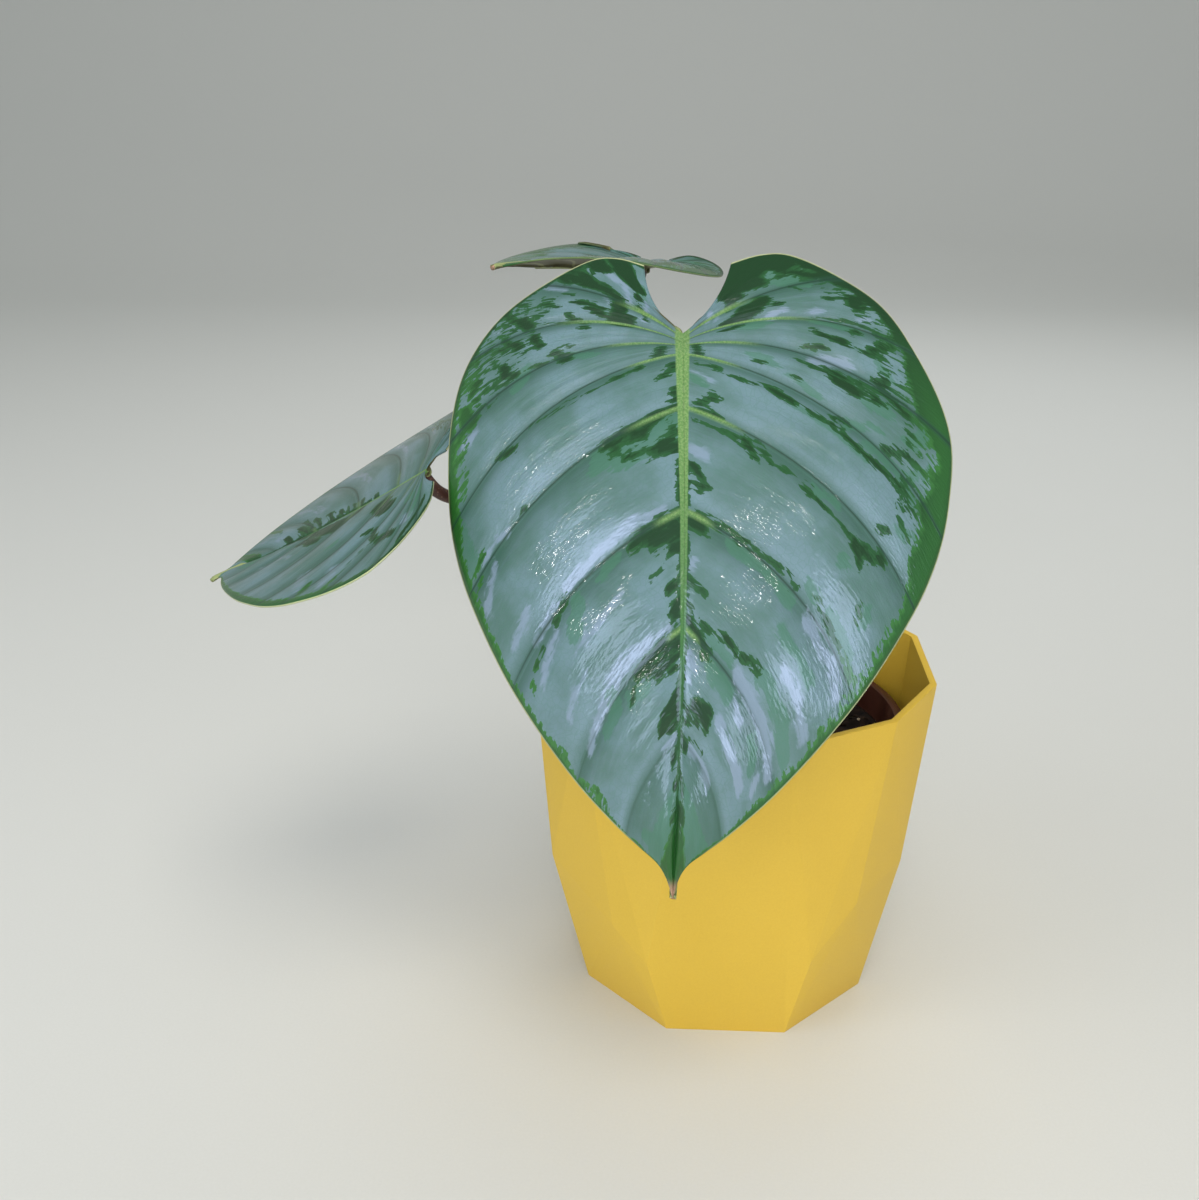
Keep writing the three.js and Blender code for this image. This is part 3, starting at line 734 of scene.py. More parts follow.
def table(value, rows):
    """Reads a value between the rows (place, value) of a short table."""
    for (a, first), (b, second) in zip(rows, rows[1:]):
        if value <= b:
            return lerp(first, second, min(1.0, max(0.0, (value - a) / (b - a))))
    return rows[-1][1]


def route_point(route, place):
    """A curve through every point of the route, with pull by the root of the distances between."""
    lower = min(int(place), len(route) - 2)
    t = place - lower
    b, c = route[lower], route[lower + 1]
    a = route[lower - 1] if lower > 0 else 2 * b - c
    d = route[lower + 2] if lower + 2 < len(route) else 2 * c - b
    before, middle, after = ((q - p).length ** 0.5 for p, q in ((a, b), (b, c), (c, d)))
    out_slope = ((b - a) / before - (c - a) / (before + middle) + (c - b) / middle) * middle
    in_slope = ((c - b) / middle - (d - b) / (middle + after) + (d - c) / after) * middle
    cubic = 2 * b - 2 * c + out_slope + in_slope
    square = -3 * b + 3 * c - 2 * out_slope - in_slope
    return ((cubic * t + square) * t + out_slope) * t + b


def stalk_spine(leaf):
    """Points at equal steps along the middle of a stalk, in millimetres."""
    rib = RIB_DEPTH * math.sqrt(leaf["length"] / MIDRIB)
    point, normal = bent(leaf, 0, SEAT * MIDRIB / leaf["length"], 1)
    end = point - normal * (THICKNESS / 2 + 0.5 * rib)
    route = [Vector(p) for p in leaf["route"]] + [end - normal * NECK, end]
    dense = [route_point(route, (len(route) - 1) * k / ROUTE_STEPS) for k in range(ROUTE_STEPS + 1)]
    reach = [0.0]
    for a, b in zip(dense, dense[1:]):
        reach.append(reach[-1] + (b - a).length)
    spine = []
    k = 0
    for step in range(STALK_STEPS + 1):
        goal = reach[-1] * step / STALK_STEPS
        while k + 2 < len(reach) and reach[k + 1] < goal:
            k += 1
        spine.append(dense[k].lerp(dense[k + 1], (goal - reach[k]) / (reach[k + 1] - reach[k])))
    return spine


def stalk_frames(leaf):
    """A matrix for each step that puts a circle of radius 1 square across the stalk, at its size."""
    spine = stalk_spine(leaf)
    radii = [(k / (len(leaf["radii"]) - 1), radius) for k, radius in enumerate(leaf["radii"])]
    frames = []
    turn = (spine[1] - spine[0]).to_track_quat("Z", "X")
    for step, centre in enumerate(spine):
        ahead = spine[min(step + 1, STALK_STEPS)] - spine[max(step - 1, 0)]
        swing = (turn @ Vector((0, 0, 1))).rotation_difference(ahead)
        turn = swing @ turn
        radius = table(step / STALK_STEPS, radii)
        scale = Matrix.Diagonal((radius * MM, radius * MM, MM, 1.0))
        frames.append(Matrix.Translation(centre * MM) @ turn.to_matrix().to_4x4() @ scale)
    return frames


def stalk(name, leaf):
    frames = stalk_frames(leaf)
    bm = bmesh.new()
    bmesh.ops.create_circle(bm, cap_ends=False, segments=STALK_SIDES, radius=1.0, matrix=frames[0])
    first = list(bm.edges)
    ring = first
    for before, after in zip(frames, frames[1:]):
        pulled = bmesh.ops.extrude_edge_only(bm, edges=ring)["geom"]
        ring = [e for e in pulled if isinstance(e, bmesh.types.BMEdge)]
        moved = [v for v in pulled if isinstance(v, bmesh.types.BMVert)]
        bmesh.ops.transform(bm, matrix=after @ before.inverted(), verts=moved)
    bmesh.ops.holes_fill(bm, edges=first + ring, sides=0)
    bmesh.ops.recalc_face_normals(bm, faces=bm.faces)
    return finished(bm, "stalk_" + name, [wine], "petiole_" + name, smooth_angle=60)


for name, leaf in LEAVES.items():
    stalk(name, leaf)

# %% [markdown]
# ## Markings
# The pattern of this species is silver with dark green patches that lie between or along the side
# veins. It could be left to noise, but then no leaf would look like this one. So it is written down as
# brush strokes on the numbered places of a leaf. Each row is a stroke: its half width counted in veins,
# then the places it runs through, each as a vein and a share of the way out.
#
# - "green" rows make patches, and "half" rows a fainter green.
# - "flecks" rows only loosen the silver, so that noise breaks it up.
# - "silver" rows clear an island again, and "sheen" rows carry a pale blue painted reflection of the windows
#   and are also glossier.
# - "sparkle" rows mark where the skin is wrinkled enough to glitter.
# - "margin" gives, by vein, the share of the way out at which the green margin begins.

# %% Strokes on the large leaf, the half on its own right
LARGE_RIGHT_HALF = {
    "green": [
        (0.18, 0.3, 0.62, 0.35, 0.95), (0.1, 0.5, 0.5, 0.62, 0.44),
        (0.03, 0.8, 0.38, 1.1, 0.25, 1.4, 0.19), (0.12, 0.6, 0.85, 0.6, 0.95),
        (0.09, 0.86, 0.95, 0.86, 0.6, 0.95, 0.48), (0.1, 0.95, 0.48, 1.2, 0.38, 1.45, 0.33),
        (0.16, 1.5, 0.3, 1.75, 0.28, 2, 0.25), (0.07, 1.3, 0.62, 1.32, 0.52, 1.42, 0.42),
        (0.08, 1.45, 0.48, 1.62, 0.4, 1.75, 0.35), (0.03, 1.12, 0.7, 1.13, 0.77),
        (0.04, 1.45, 0.66, 1.36, 0.8), (0.04, 1.68, 0.55, 1.95, 0.46),
        (0.03, 2.1, 0.4, 1.98, 0.5, 1.85, 0.68), (0.08, 1.68, 0.79, 1.9, 0.7),
        (0.05, 2, 0.8, 2.2, 0.74, 2.35, 0.68), (0.05, 1.65, 0.83, 1.4, 0.98),
        (0.06, 2.05, 0.88, 2.1, 0.95), (0.05, 2.22, 0.4, 2.3, 0.37),
        (0.06, 2.25, 0.62, 2.45, 0.58, 2.55, 0.55), (0.07, 2.2, 0.72, 2.38, 0.67),
        (0.05, 2.2, 0.78, 2.32, 0.75), (0.06, 2.6, 0.73, 2.8, 0.69, 2.88, 0.65),
        (0.03, 2.74, 0.43, 2.8, 0.4), (0.07, 2.82, 0.47, 2.95, 0.43, 3.08, 0.41),
        (0.03, 2.97, 0.5, 2.9, 0.58), (0.04, 2.8, 0.85, 2.76, 0.87), (0.07, 2.65, 0.9, 2.58, 0.86),
        (0.1, 2.85, 0.92, 3, 0.89, 3.08, 0.86), (0.06, 3.05, 0.92, 3.15, 0.95),
        (0.05, 3.2, 0.055, 3.6, 0.07, 3.95, 0.08), (0.05, 3.95, 0.71, 4.05, 0.67, 4.13, 0.63),
        (0.02, 4.08, 0.13, 4.13, 0.3, 4.1, 0.42, 4.02, 0.55), (0.05, 4.2, 0.025, 4.36, 0.055),
        (0.04, 4.65, 0.02, 4.85, 0.03), (0.07, 4.98, 0.02, 5.03, 0.27), (0.06, 5.1, 0.13, 5.12, 0.24),
        (0.07, 5.36, 0.02, 5.34, 0.1), (0.05, 5.22, 0.03, 5.28, 0.08), (0.03, 5.3, 0.12, 5.26, 0.2),
        (0.05, 4.85, 0.87, 4.93, 0.93), (0.03, 5, 0.65, 4.95, 0.64), (0.03, 5.02, 0.9, 5.05, 0.93),
        (0.03, 5.5, 0.01, 5.95, 0.01), (0.07, 6.02, 0.02, 6.04, 0.22), (0.08, 6.15, 0.02, 6.13, 0.13),
        (0.06, 6.28, 0.01, 6.26, 0.05), (0.02, 6.22, 0.1, 6.22, 0.13), (0.02, 6.4, 0.1, 6.42, 0.15),
        (0.05, 6.57, 0.02, 6.6, 0.07), (0.08, 6.78, 0.02, 6.82, 0.04), (0.03, 5.98, 0.57, 6.06, 0.66),
        (0.02, 6.1, 0.76, 6.13, 0.84), (0.03, 6.2, 0.89, 6.22, 0.9), (0.07, 7.02, 0.02, 7.03, 0.32),
        (0.07, 7.12, 0.02, 7.12, 0.24), (0.06, 7.22, 0.02, 7.24, 0.18), (0.04, 7.28, 0.1, 7.3, 0.02),
        (0.04, 7.13, 0.36, 7.19, 0.38), (0.08, 7.55, 0.02, 7.66, 0.15), (0.08, 7.72, 0.02, 7.76, 0.2),
        (0.05, 7.87, 0.02, 7.85, 0.12), (0.04, 8.07, 0.01, 8.1, 0.1), (0.05, 8.25, 0.01, 8.27, 0.07),
        (0.04, 8.47, 0.01, 8.46, 0.2), (0.05, 8.57, 0.02, 8.55, 0.3), (0.3, 8.85, 0, 8.8, 1),
        (0.03, 6.8, 0.95, 6.88, 0.96), (0.03, 7.3, 0.92, 7.5, 0.92), (0.03, 6.3, 0.01, 8.5, 0.01),
    ],
    "half": [
        (0.1, 0.35, 0.5, 0.2, 0.7), (0.2, 8.5, 0, 8.45, 1), (0.08, 2.9, 0.6, 3.1, 0.62),
        (0.12, 5.15, 0.04, 5.15, 0.3), (0.1, 5.3, 0.05, 5.25, 0.22), (0.05, 6.05, 0.3, 6.09, 0.38),
        (0.09, 6.12, 0.52, 6.28, 0.58), (0.07, 7.25, 0.26, 7.15, 0.4), (0.08, 7.08, 0.5, 7.15, 0.63),
        (0.03, 6.93, 0.5, 6.92, 0.55), (0.1, 8.5, 0.3, 8.4, 0.6, 8.25, 0.85),
        (0.05, 2.95, 0.42, 3.2, 0.3), (0.1, 4.2, 0.97, 4.8, 0.93),
    ],
    "flecks": [(0.5, 1.7, 0.87, 2.6, 0.82), (0.12, 2.6, 0.93, 3.8, 0.93), (0.05, 6.6, 0.97, 7.6, 0.96)],
    "silver": [(0.03, 5.22, 0.13, 5.2, 0.17)],
    "sheen": [
        (0.05, 0.62, 0.78, 0.6, 0.62, 0.75, 0.5, 1, 0.38),
        (0.04, 0.3, 0.5, 0.55, 0.38, 1, 0.26, 1.5, 0.19), (0.04, 1.05, 0.53, 1.15, 0.45, 1.3, 0.36),
        (0.04, 1.7, 0.72, 1.62, 0.78), (0.04, 1.05, 0.8, 1.02, 0.95), (0.04, 1.75, 0.88, 1.7, 0.93),
        (0.07, 3.25, 0.84, 3.22, 0.9), (0.05, 4.97, 0.74, 4.9, 0.8, 4.93, 0.88),
        (0.06, 5.13, 0.84, 5.28, 0.9, 5.35, 0.93), (0.05, 5.75, 0.75, 5.82, 0.88),
        (0.04, 5.92, 0.08, 5.87, 0.2), (0.06, 5.86, 0.2, 5.9, 0.4, 5.93, 0.55),
        (0.05, 5.97, 0.62, 6, 0.78), (0.04, 6.12, 0.66, 6.3, 0.85), (0.04, 6.38, 0.3, 6.43, 0.6),
        (0.03, 6.6, 0.6, 6.68, 0.8), (0.03, 6.93, 0.08, 6.88, 0.18),
        (0.07, 6.88, 0.2, 6.86, 0.4, 6.93, 0.6), (0.05, 6.95, 0.6, 7.03, 0.8),
        (0.04, 7.95, 0.05, 7.95, 0.2),
    ],
    "sparkle": [
        (0.06, 4.57, 0.2, 4.57, 0.27), (0.04, 4.8, 0.35, 4.8, 0.57), (0.04, 4.76, 0.62, 4.77, 0.68),
        (0.05, 4.8, 0.78, 4.73, 0.87), (0.05, 5.38, 0.28, 5.37, 0.38), (0.05, 5.45, 0.46, 5.48, 0.52),
        (0.06, 5.5, 0.6, 5.4, 0.75), (0.04, 5.77, 0.45, 5.78, 0.58), (0.07, 3.95, 0.46, 3.87, 0.62),
        (0.04, 3.8, 0.2, 3.8, 0.26), (0.05, 2.9, 0.43, 2.85, 0.48), (0.05, 2.85, 0.54, 2.75, 0.6),
        (0.05, 2.8, 0.64, 2.85, 0.7), (0.03, 6.7, 0.44, 6.7, 0.6), (0.03, 7.43, 0.3, 7.3, 0.45),
        (0.03, 7.5, 0.18, 7.5, 0.26), (0.03, 7.8, 0.26, 7.6, 0.5), (0.04, 7.85, 0.06, 7.8, 0.15),
    ],
    "margin": [
        (0, 0.97), (2.6, 0.96), (3.2, 0.955), (3.6, 0.94), (4.2, 0.94), (4.5, 0.96), (5.3, 0.965),
        (8, 0.98), (9, 0.97),
    ],
}
print("strokes on the right half:", {kind: len(rows) for kind, rows in LARGE_RIGHT_HALF.items()})

# %% Strokes on the large leaf, its other half
LARGE_LEFT_HALF = {
    "green": [
        (0.42, 0.42, 0.62, 0.35, 0.95), (0.15, 0.3, 0.5, 0.75, 0.44), (0.08, 0.8, 0.4, 1, 0.33),
        (0.04, 1, 0.33, 1.15, 0.27), (0.1, 0.85, 0.85, 0.95, 0.92), (0.12, 1.15, 0.48, 1.3, 0.4),
        (0.17, 1.3, 0.38, 1.6, 0.29, 1.85, 0.22), (0.05, 1.4, 0.5, 1.5, 0.45),
        (0.1, 1.08, 0.95, 1.1, 0.93), (0.1, 1.35, 0.88, 1.5, 0.82), (0.03, 1.38, 0.73, 1.36, 0.76),
        (0.04, 1.05, 0.7, 1.12, 0.7), (0.03, 1.95, 0.55, 1.9, 0.68, 1.9, 0.9),
        (0.06, 2.2, 0.22, 2.35, 0.16), (0.08, 2.38, 0.53, 2.45, 0.56, 2.45, 0.62),
        (0.05, 2.2, 0.68, 2.1, 0.72), (0.06, 2.4, 0.74, 2.25, 0.8, 2.1, 0.87),
        (0.05, 2.5, 0.7, 2.45, 0.8), (0.04, 2.7, 0.52, 2.78, 0.47, 2.85, 0.43),
        (0.06, 2.8, 0.75, 2.95, 0.71), (0.03, 3.2, 0.4, 3.22, 0.48),
        (0.05, 3.15, 0.5, 3.1, 0.6, 3.05, 0.7), (0.06, 3.05, 0.72, 3.1, 0.8),
        (0.11, 3.27, 0.53, 3.28, 0.57), (0.06, 3.25, 0.6, 3.2, 0.68), (0.04, 3.52, 0.25, 3.62, 0.235),
        (0.03, 3.66, 0.36, 3.6, 0.37), (0.05, 3.92, 0.68, 3.75, 0.74, 3.62, 0.79),
        (0.03, 3.05, 0.045, 4, 0.045), (0.03, 4.15, 0.05, 4.15, 0.1), (0.03, 4.2, 0.16, 4.2, 0.22),
        (0.07, 4.17, 0.28, 4.2, 0.34), (0.05, 4.22, 0.4, 4.2, 0.48), (0.04, 4.08, 0.48, 4, 0.53),
        (0.05, 4.22, 0.52, 4.24, 0.62, 4.2, 0.75), (0.04, 4.63, 0.1, 4.72, 0.08, 4.85, 0.05),
        (0.04, 4.95, 0.05, 4.97, 0.11), (0.05, 4.85, 0.73, 4.78, 0.76), (0.02, 5.1, 0.04, 5.1, 0.18),
        (0.05, 5.1, 0.2, 5.18, 0.24), (0.03, 5.07, 0.25, 5.15, 0.3), (0.03, 5.15, 0.3, 5.16, 0.45),
        (0.03, 5.18, 0.48, 5.2, 0.62), (0.06, 5.22, 0.66, 5.15, 0.74, 5.08, 0.78),
        (0.05, 5.25, 0.68, 5.3, 0.7), (0.04, 5.58, 0.77, 5.6, 0.79), (0.05, 5.53, 0.03, 5.65, 0.07),
        (0.03, 5.68, 0.085, 5.75, 0.05), (0.03, 5.97, 0.05, 5.95, 0.5), (0.03, 5.88, 0.6, 5.9, 0.63),
        (0.02, 5.92, 0.65, 5.96, 0.92), (0.06, 6.08, 0.02, 6.08, 0.07), (0.03, 6.57, 0.04, 6.57, 0.1),
        (0.03, 6.83, 0.1, 6.8, 0.2, 6.77, 0.3), (0.05, 6.77, 0.25, 6.78, 0.32),
        (0.04, 6.77, 0.35, 6.7, 0.48), (0.03, 6.78, 0.02, 6.8, 0.04),
        (0.06, 6.9, 0.02, 6.95, 0.09, 7.03, 0.16), (0.04, 7.08, 0.13, 7, 0.18),
        (0.1, 7.58, 0.12, 7.58, 0.25), (0.06, 7.5, 0.2, 7.47, 0.26), (0.06, 7.72, 0.06, 7.68, 0.18),
        (0.04, 7.85, 0.03, 7.75, 0.1), (0.02, 7.9, 0.1, 7.88, 0.28), (0.05, 8.03, 0.01, 8.03, 0.08),
        (0.05, 8.22, 0.03, 8.3, 0.15), (0.04, 8.33, 0.1, 8.35, 0.25), (0.06, 8.42, 0, 8.42, 0.3),
        (0.3, 8.8, 0, 8.8, 1), (0.1, 8.55, 0.02, 8.52, 0.5), (0.03, 5.5, 0.01, 8.4, 0.01),
    ],
    "half": [
        (0.2, 0.68, 0.72, 0.9, 0.75), (0.1, 2.05, 0.55, 2.1, 0.7), (0.12, 2.2, 0.3, 2.35, 0.25),
        (0.08, 3.35, 0.63, 3.25, 0.7), (0.1, 3.35, 0.25, 3.5, 0.27), (0.08, 3.68, 0.37, 3.82, 0.42),
        (0.04, 3.8, 0.6, 3.65, 0.66), (0.05, 4.05, 0.52, 3.9, 0.58),
        (0.06, 3.5, 0.78, 3.3, 0.84, 3.1, 0.9), (0.05, 3.95, 0.78, 3.7, 0.84, 3.5, 0.9),
        (0.04, 4.1, 0.7, 3.95, 0.8), (0.06, 4.1, 0.6, 4, 0.7), (0.05, 4.25, 0.35, 4.27, 0.6),
        (0.07, 4.05, 0.75, 4.15, 0.82), (0.05, 4.4, 0.04, 4.47, 0.05),
        (0.04, 4.65, 0.8, 4.45, 0.87, 4.3, 0.9), (0.04, 5.12, 0.47, 5.07, 0.55),
        (0.05, 5.4, 0.65, 5.47, 0.63), (0.05, 5.52, 0.82, 5.6, 0.83), (0.05, 5.85, 0.55, 5.88, 0.6),
        (0.06, 5.86, 0.68, 5.88, 0.85), (0.05, 6.05, 0.2, 6.07, 0.5), (0.04, 6.32, 0.5, 6.35, 0.75),
        (0.07, 6.72, 0.5, 6.75, 0.75, 6.85, 0.9), (0.1, 7.12, 0.2, 7.15, 0.35),
        (0.05, 6.9, 0.15, 6.88, 0.3), (0.08, 7.15, 0.64, 7.25, 0.75),
        (0.25, 8.5, 0, 8.45, 0.6, 8.4, 0.95), (0.06, 2.6, 0.75, 2.75, 0.78),
        (0.05, 2.3, 0.9, 2.15, 0.95),
    ],
    "flecks": [
        (0.2, 2.2, 0.88, 2.9, 0.82), (0.2, 3, 0.86, 4.4, 0.84), (0.15, 1, 0.85, 1.9, 0.85),
        (0.06, 5.4, 0.95, 7.6, 0.97),
    ],
    "silver": [
        (0.03, 0.72, 0.72, 0.68, 0.78), (0.03, 0.83, 0.68, 0.8, 0.78), (0.03, 2.2, 0.95, 2.35, 0.91),
        (0.04, 3.35, 0.9, 3.45, 0.87), (0.03, 4.4, 0.95, 4.55, 0.94), (0.05, 3.25, 0.84, 3.15, 0.87),
    ],
    "sheen": [
        (0.05, 0.3, 0.3, 0.7, 0.25, 1.2, 0.15), (0.04, 1, 0.24, 1.4, 0.17),
        (0.06, 1.65, 0.47, 1.9, 0.36), (0.06, 2, 0.3, 2.05, 0.36), (0.05, 1.7, 0.62, 1.8, 0.56),
        (0.05, 1.8, 0.78, 1.72, 0.84), (0.09, 2.85, 0.6, 2.95, 0.53, 3.08, 0.46),
        (0.04, 4.3, 0.03, 4.4, 0.08), (0.06, 5.4, 0.03, 5.4, 0.07),
        (0.06, 6.08, 0.6, 6.08, 0.8, 6.15, 0.9), (0.05, 6.45, 0.02, 6.4, 0.05),
        (0.06, 6.52, 0.6, 6.52, 0.75, 6.6, 0.9), (0.08, 6.93, 0.38, 6.93, 0.55, 6.97, 0.75, 7.05, 0.88),
        (0.06, 7.12, 0.42, 7.2, 0.5), (0.06, 7.2, 0.82, 7.35, 0.87), (0.07, 7.22, 0.03, 7.25, 0.09),
        (0.06, 7.4, 0.02, 7.42, 0.06), (0.08, 7.45, 0.35, 7.48, 0.5, 7.52, 0.78),
        (0.05, 8, 0.12, 7.97, 0.3, 8.02, 0.5),
    ],
    "sparkle": [
        (0.06, 4.75, 0.18, 4.65, 0.28), (0.04, 5.02, 0.2, 5.08, 0.38), (0.06, 5.45, 0.22, 5.45, 0.31),
        (0.05, 5.88, 0.25, 5.8, 0.34), (0.04, 5.55, 0.3, 5.6, 0.5), (0.05, 6.18, 0.3, 6.15, 0.38),
        (0.03, 6.45, 0.2, 6.3, 0.3), (0.05, 6.62, 0.28, 6.6, 0.3), (0.05, 6.7, 0.34, 6.78, 0.38),
        (0.02, 7.1, 0.2, 6.9, 0.33), (0.03, 7.4, 0.16, 7.35, 0.18), (0.03, 7.68, 0.1, 7.68, 0.14),
    ],
    "margin": [
        (0, 0.9), (1, 0.92), (2, 0.92), (2.5, 0.87), (3, 0.85), (3.3, 0.93), (3.7, 0.9), (4, 0.85),
        (4.3, 0.88), (4.7, 0.88), (4.9, 0.92), (5.3, 0.95), (5.8, 0.97), (7, 0.96), (7.4, 0.95),
        (8, 0.97), (9, 0.97),
    ],
}
print("strokes on the left half:", {kind: len(rows) for kind, rows in LARGE_LEFT_HALF.items()})

# %% Strokes on the two smaller leaves
SMALL_RIGHT_HALF = {
    "green": [
        (0.06, 5.55, 0.01, 5.55, 0.03), (0.04, 5.92, 0.01, 5.88, 0.09), (0.03, 6.1, 0.01, 6.08, 0.1),
        (0.04, 6.25, 0.01, 6.2, 0.12), (0.04, 6.42, 0.01, 6.35, 0.12), (0.06, 6.6, 0.01, 6.58, 0.17),
        (0.05, 6.85, 0.01, 6.83, 0.3), (0.05, 7.05, 0.02, 6.96, 0.45), (0.06, 7.15, 0.02, 7.2, 0.3),
        (0.05, 7.3, 0.05, 7.25, 0.2), (0.09, 7.6, 0.02, 7.55, 0.2), (0.04, 7.45, 0.5, 7.2, 0.95),
        (0.12, 8.3, 0.05, 8.2, 0.95), (0.05, 5.7, 0.01, 8.3, 0.01),
    ],
    "half": [(0.12, 1, 0.3, 2, 0.2), (0.25, 8.8, 0, 8.8, 1)],
    "flecks": [(0.4, 2.5, 0.5, 3.5, 0.7)],
    "sheen": [
        (0.08, 3.7, 0.5, 3.68, 0.85), (0.08, 4.72, 0.45, 4.68, 0.85), (0.08, 5.7, 0.35, 5.68, 0.85),
        (0.08, 6.66, 0.35, 6.64, 0.85), (0.1, 7.62, 0.3, 7.7, 0.8),
    ],
    "margin": [(0, 0.95), (9, 0.97)],
}
SMALL_LEFT_HALF = {
    "green": [
        (0.1, 2.3, 0.62, 3, 0.55), (0.07, 2.9, 0.6, 4, 0.4), (0.04, 3.2, 0.95, 3.4, 0.6),
        (0.05, 3.9, 0.9, 4.2, 0.8), (0.17, 4.35, 0.22, 4.7, 0.2), (0.15, 4.7, 0.17, 5.05, 0.13),
        (0.05, 4.1, 0.4, 4.3, 0.42), (0.12, 5.8, 0.05, 6.1, 0.12), (0.2, 6.1, 0.15, 6.6, 0.12),
        (0.12, 6.3, 0.3, 6.9, 0.2), (0.12, 6.9, 0.05, 7.5, 0.05), (0.12, 0.8, 0.75, 1.5, 0.85),
    ],
    "half": [
        (0.1, 2.2, 0.27, 3.1, 0.22), (0.06, 5.3, 0.45, 5.3, 0.41), (0.06, 7.2, 0.2, 7.8, 0.1),
        (0.1, 8.2, 0, 8.2, 0.5), (0.15, 1.1, 0.3, 1.4, 0.6), (0.25, 8.8, 0, 8.8, 1),
    ],
    "sheen": [
        (0.12, 3.4, 0.85, 4, 0.7), (0.1, 4.3, 0.85, 5, 0.7), (0.06, 6.4, 0.48, 6.9, 0.42),
        (0.05, 6.9, 0.55, 7.1, 0.57), (0.12, 1.4, 0.65, 2.2, 0.5),
    ],
    "margin": [(0, 0.93), (9, 0.95)],
}
YOUNG_HALF = {
    "green": [
        (0.2, 0.4, 0.4, 0.4, 0.9), (0.2, 1.6, 0.35, 2.3, 0.6), (0.12, 3.3, 0.3, 3.2, 0.6),
        (0.1, 4.2, 0.05, 4.25, 0.35), (0.2, 4.3, 0.75, 4.9, 0.85), (0.15, 5.2, 0.03, 5.3, 0.3),
        (0.1, 6.2, 0.02, 6.3, 0.2), (0.2, 6.1, 0.65, 6.5, 0.85), (0.12, 7.2, 0.02, 7.3, 0.4),
        (0.5, 8.8, 0, 8.8, 1), (0.3, 2.6, 0.85, 3.6, 0.92),
    ],
    "half": [(0.3, 1, 0.6, 4.4, 0.85), (0.25, 5.8, 0.7, 8, 0.7)],
    "flecks": [(0.6, 2, 0.8, 7, 0.8)],
    "sheen": [(0.05, 2.6, 0.7, 3, 0.5), (0.05, 6.9, 0.2, 6.8, 0.7), (0.06, 7.5, 0.3, 7.5, 0.8)],
    "margin": [(0, 0.93), (9, 0.95)],
}
# For each leaf the half on its own right first, then the other.
PAINTED = {
    "large": (LARGE_RIGHT_HALF, LARGE_LEFT_HALF),
    "left": (SMALL_RIGHT_HALF, SMALL_LEFT_HALF),
    "back": (YOUNG_HALF, YOUNG_HALF),
}
print("painted:", list(PAINTED))

# %% How far inside a stroke a place lies
# A way out from midrib to edge counts as 2.5 veins, so that strokes are about as wide as they are long.
OUT_WEIGHT = 2.5
# The soft border of a stroke in veins, the slope of the margin's border, and how far flecks fill in.
BORDER = 0.3
MARGIN_SLOPE = 8.0
FLECK_LEVEL = 0.47


def covered(rows, vein, out):
    """How deep a place lies inside the strokes: one half on their border, more within."""
    nearest = 0.0
    across = out * OUT_WEIGHT
    for row in rows:
        width, places = row[0], row[1:]
        for k in range(0, len(places) - 2, 2):
            ax, ay = places[k], places[k + 1] * OUT_WEIGHT
            bx, by = places[k + 2] - ax, places[k + 3] * OUT_WEIGHT - ay
            long = bx * bx + by * by
            along = ((vein - ax) * bx + (across - ay) * by) / long if long > 0 else 0.0
            along = min(1.0, max(0.0, along))
            distance = math.hypot(vein - ax - along * bx, across - ay - along * by)
            nearest = max(nearest, 0.5 + (width - distance) / BORDER)
    return nearest


def greenness(half, vein, out):
    """Above one half a place is green: in a patch, a fleck or the margin, and outside every island."""
    flecks = min(FLECK_LEVEL, covered(half.get("flecks", []), vein, out))
    patches = max(covered(half["green"], vein, out), flecks)
    patches = min(patches, 1 - covered(half.get("silver", []), vein, out))
    return max(patches, 0.5 + (out - table(vein, half["margin"])) * MARGIN_SLOPE)


print("green at the middle of the large leaf's edge:", round(greenness(LARGE_RIGHT_HALF, 5, 1), 2))

# %% [markdown]
# ## Leaf finish
# The silver of such a leaf is air: small blisters under the clear skin scatter light, so the silver is
# pale and slightly blue. The green parts have no blisters and look deep. Over both lies a glossy skin
# that mirrors the windows. A painted image could hold all this, but it would be as coarse as its
# pixels. Here the leaf carries its own measures on its points, such as how far a place is from the
# nearest side vein, and the material turns them into colour: first silver or green, then the darker
# furrows, the yellow-green midrib, and the pale edge. Part of that colour is painted light: a pale
# painted reflection of the windows on the sheen strokes, painted shade and a painted highlight across
# each pillow, and painted shade along the furrows.

# %% Small helpers for the leaf finish
def attribute(tree, name):
    """Three numbers stored on the leaf's points, one by one and as a vector."""
    found = node(tree, "ShaderNodeAttribute", attribute_name=name).outputs["Vector"]
    return node(tree, "ShaderNodeSeparateXYZ", {"Vector": found}).outputs, found


def math_node(tree, operation, first, second=0.0, third=0.0):
    return node(tree, "ShaderNodeMath", {0: first, 1: second, 2: third}, operation=operation).outputs[0]


def step_between(tree, value, low, high, at_low=0.0, at_high=1.0):
    """A smooth step: at_low below the value low, at_high above the value high."""
    return node(tree, "ShaderNodeMapRange", {
        "Value": value, "From Min": low, "From Max": high, "To Min": at_low, "To Max": at_high,
    }, interpolation_type="SMOOTHSTEP").outputs["Result"]


def noise_node(tree, vector, size, detail=2.0, roughness=0.5):
    """Noise whose lumps are about as large as size, in the unit of the vector."""
    return node(tree, "ShaderNodeTexNoise", {
        "Vector": vector, "Scale": 1 / size, "Detail": detail, "Roughness": roughness,
    }).outputs["Fac"]


print("helpers ready")

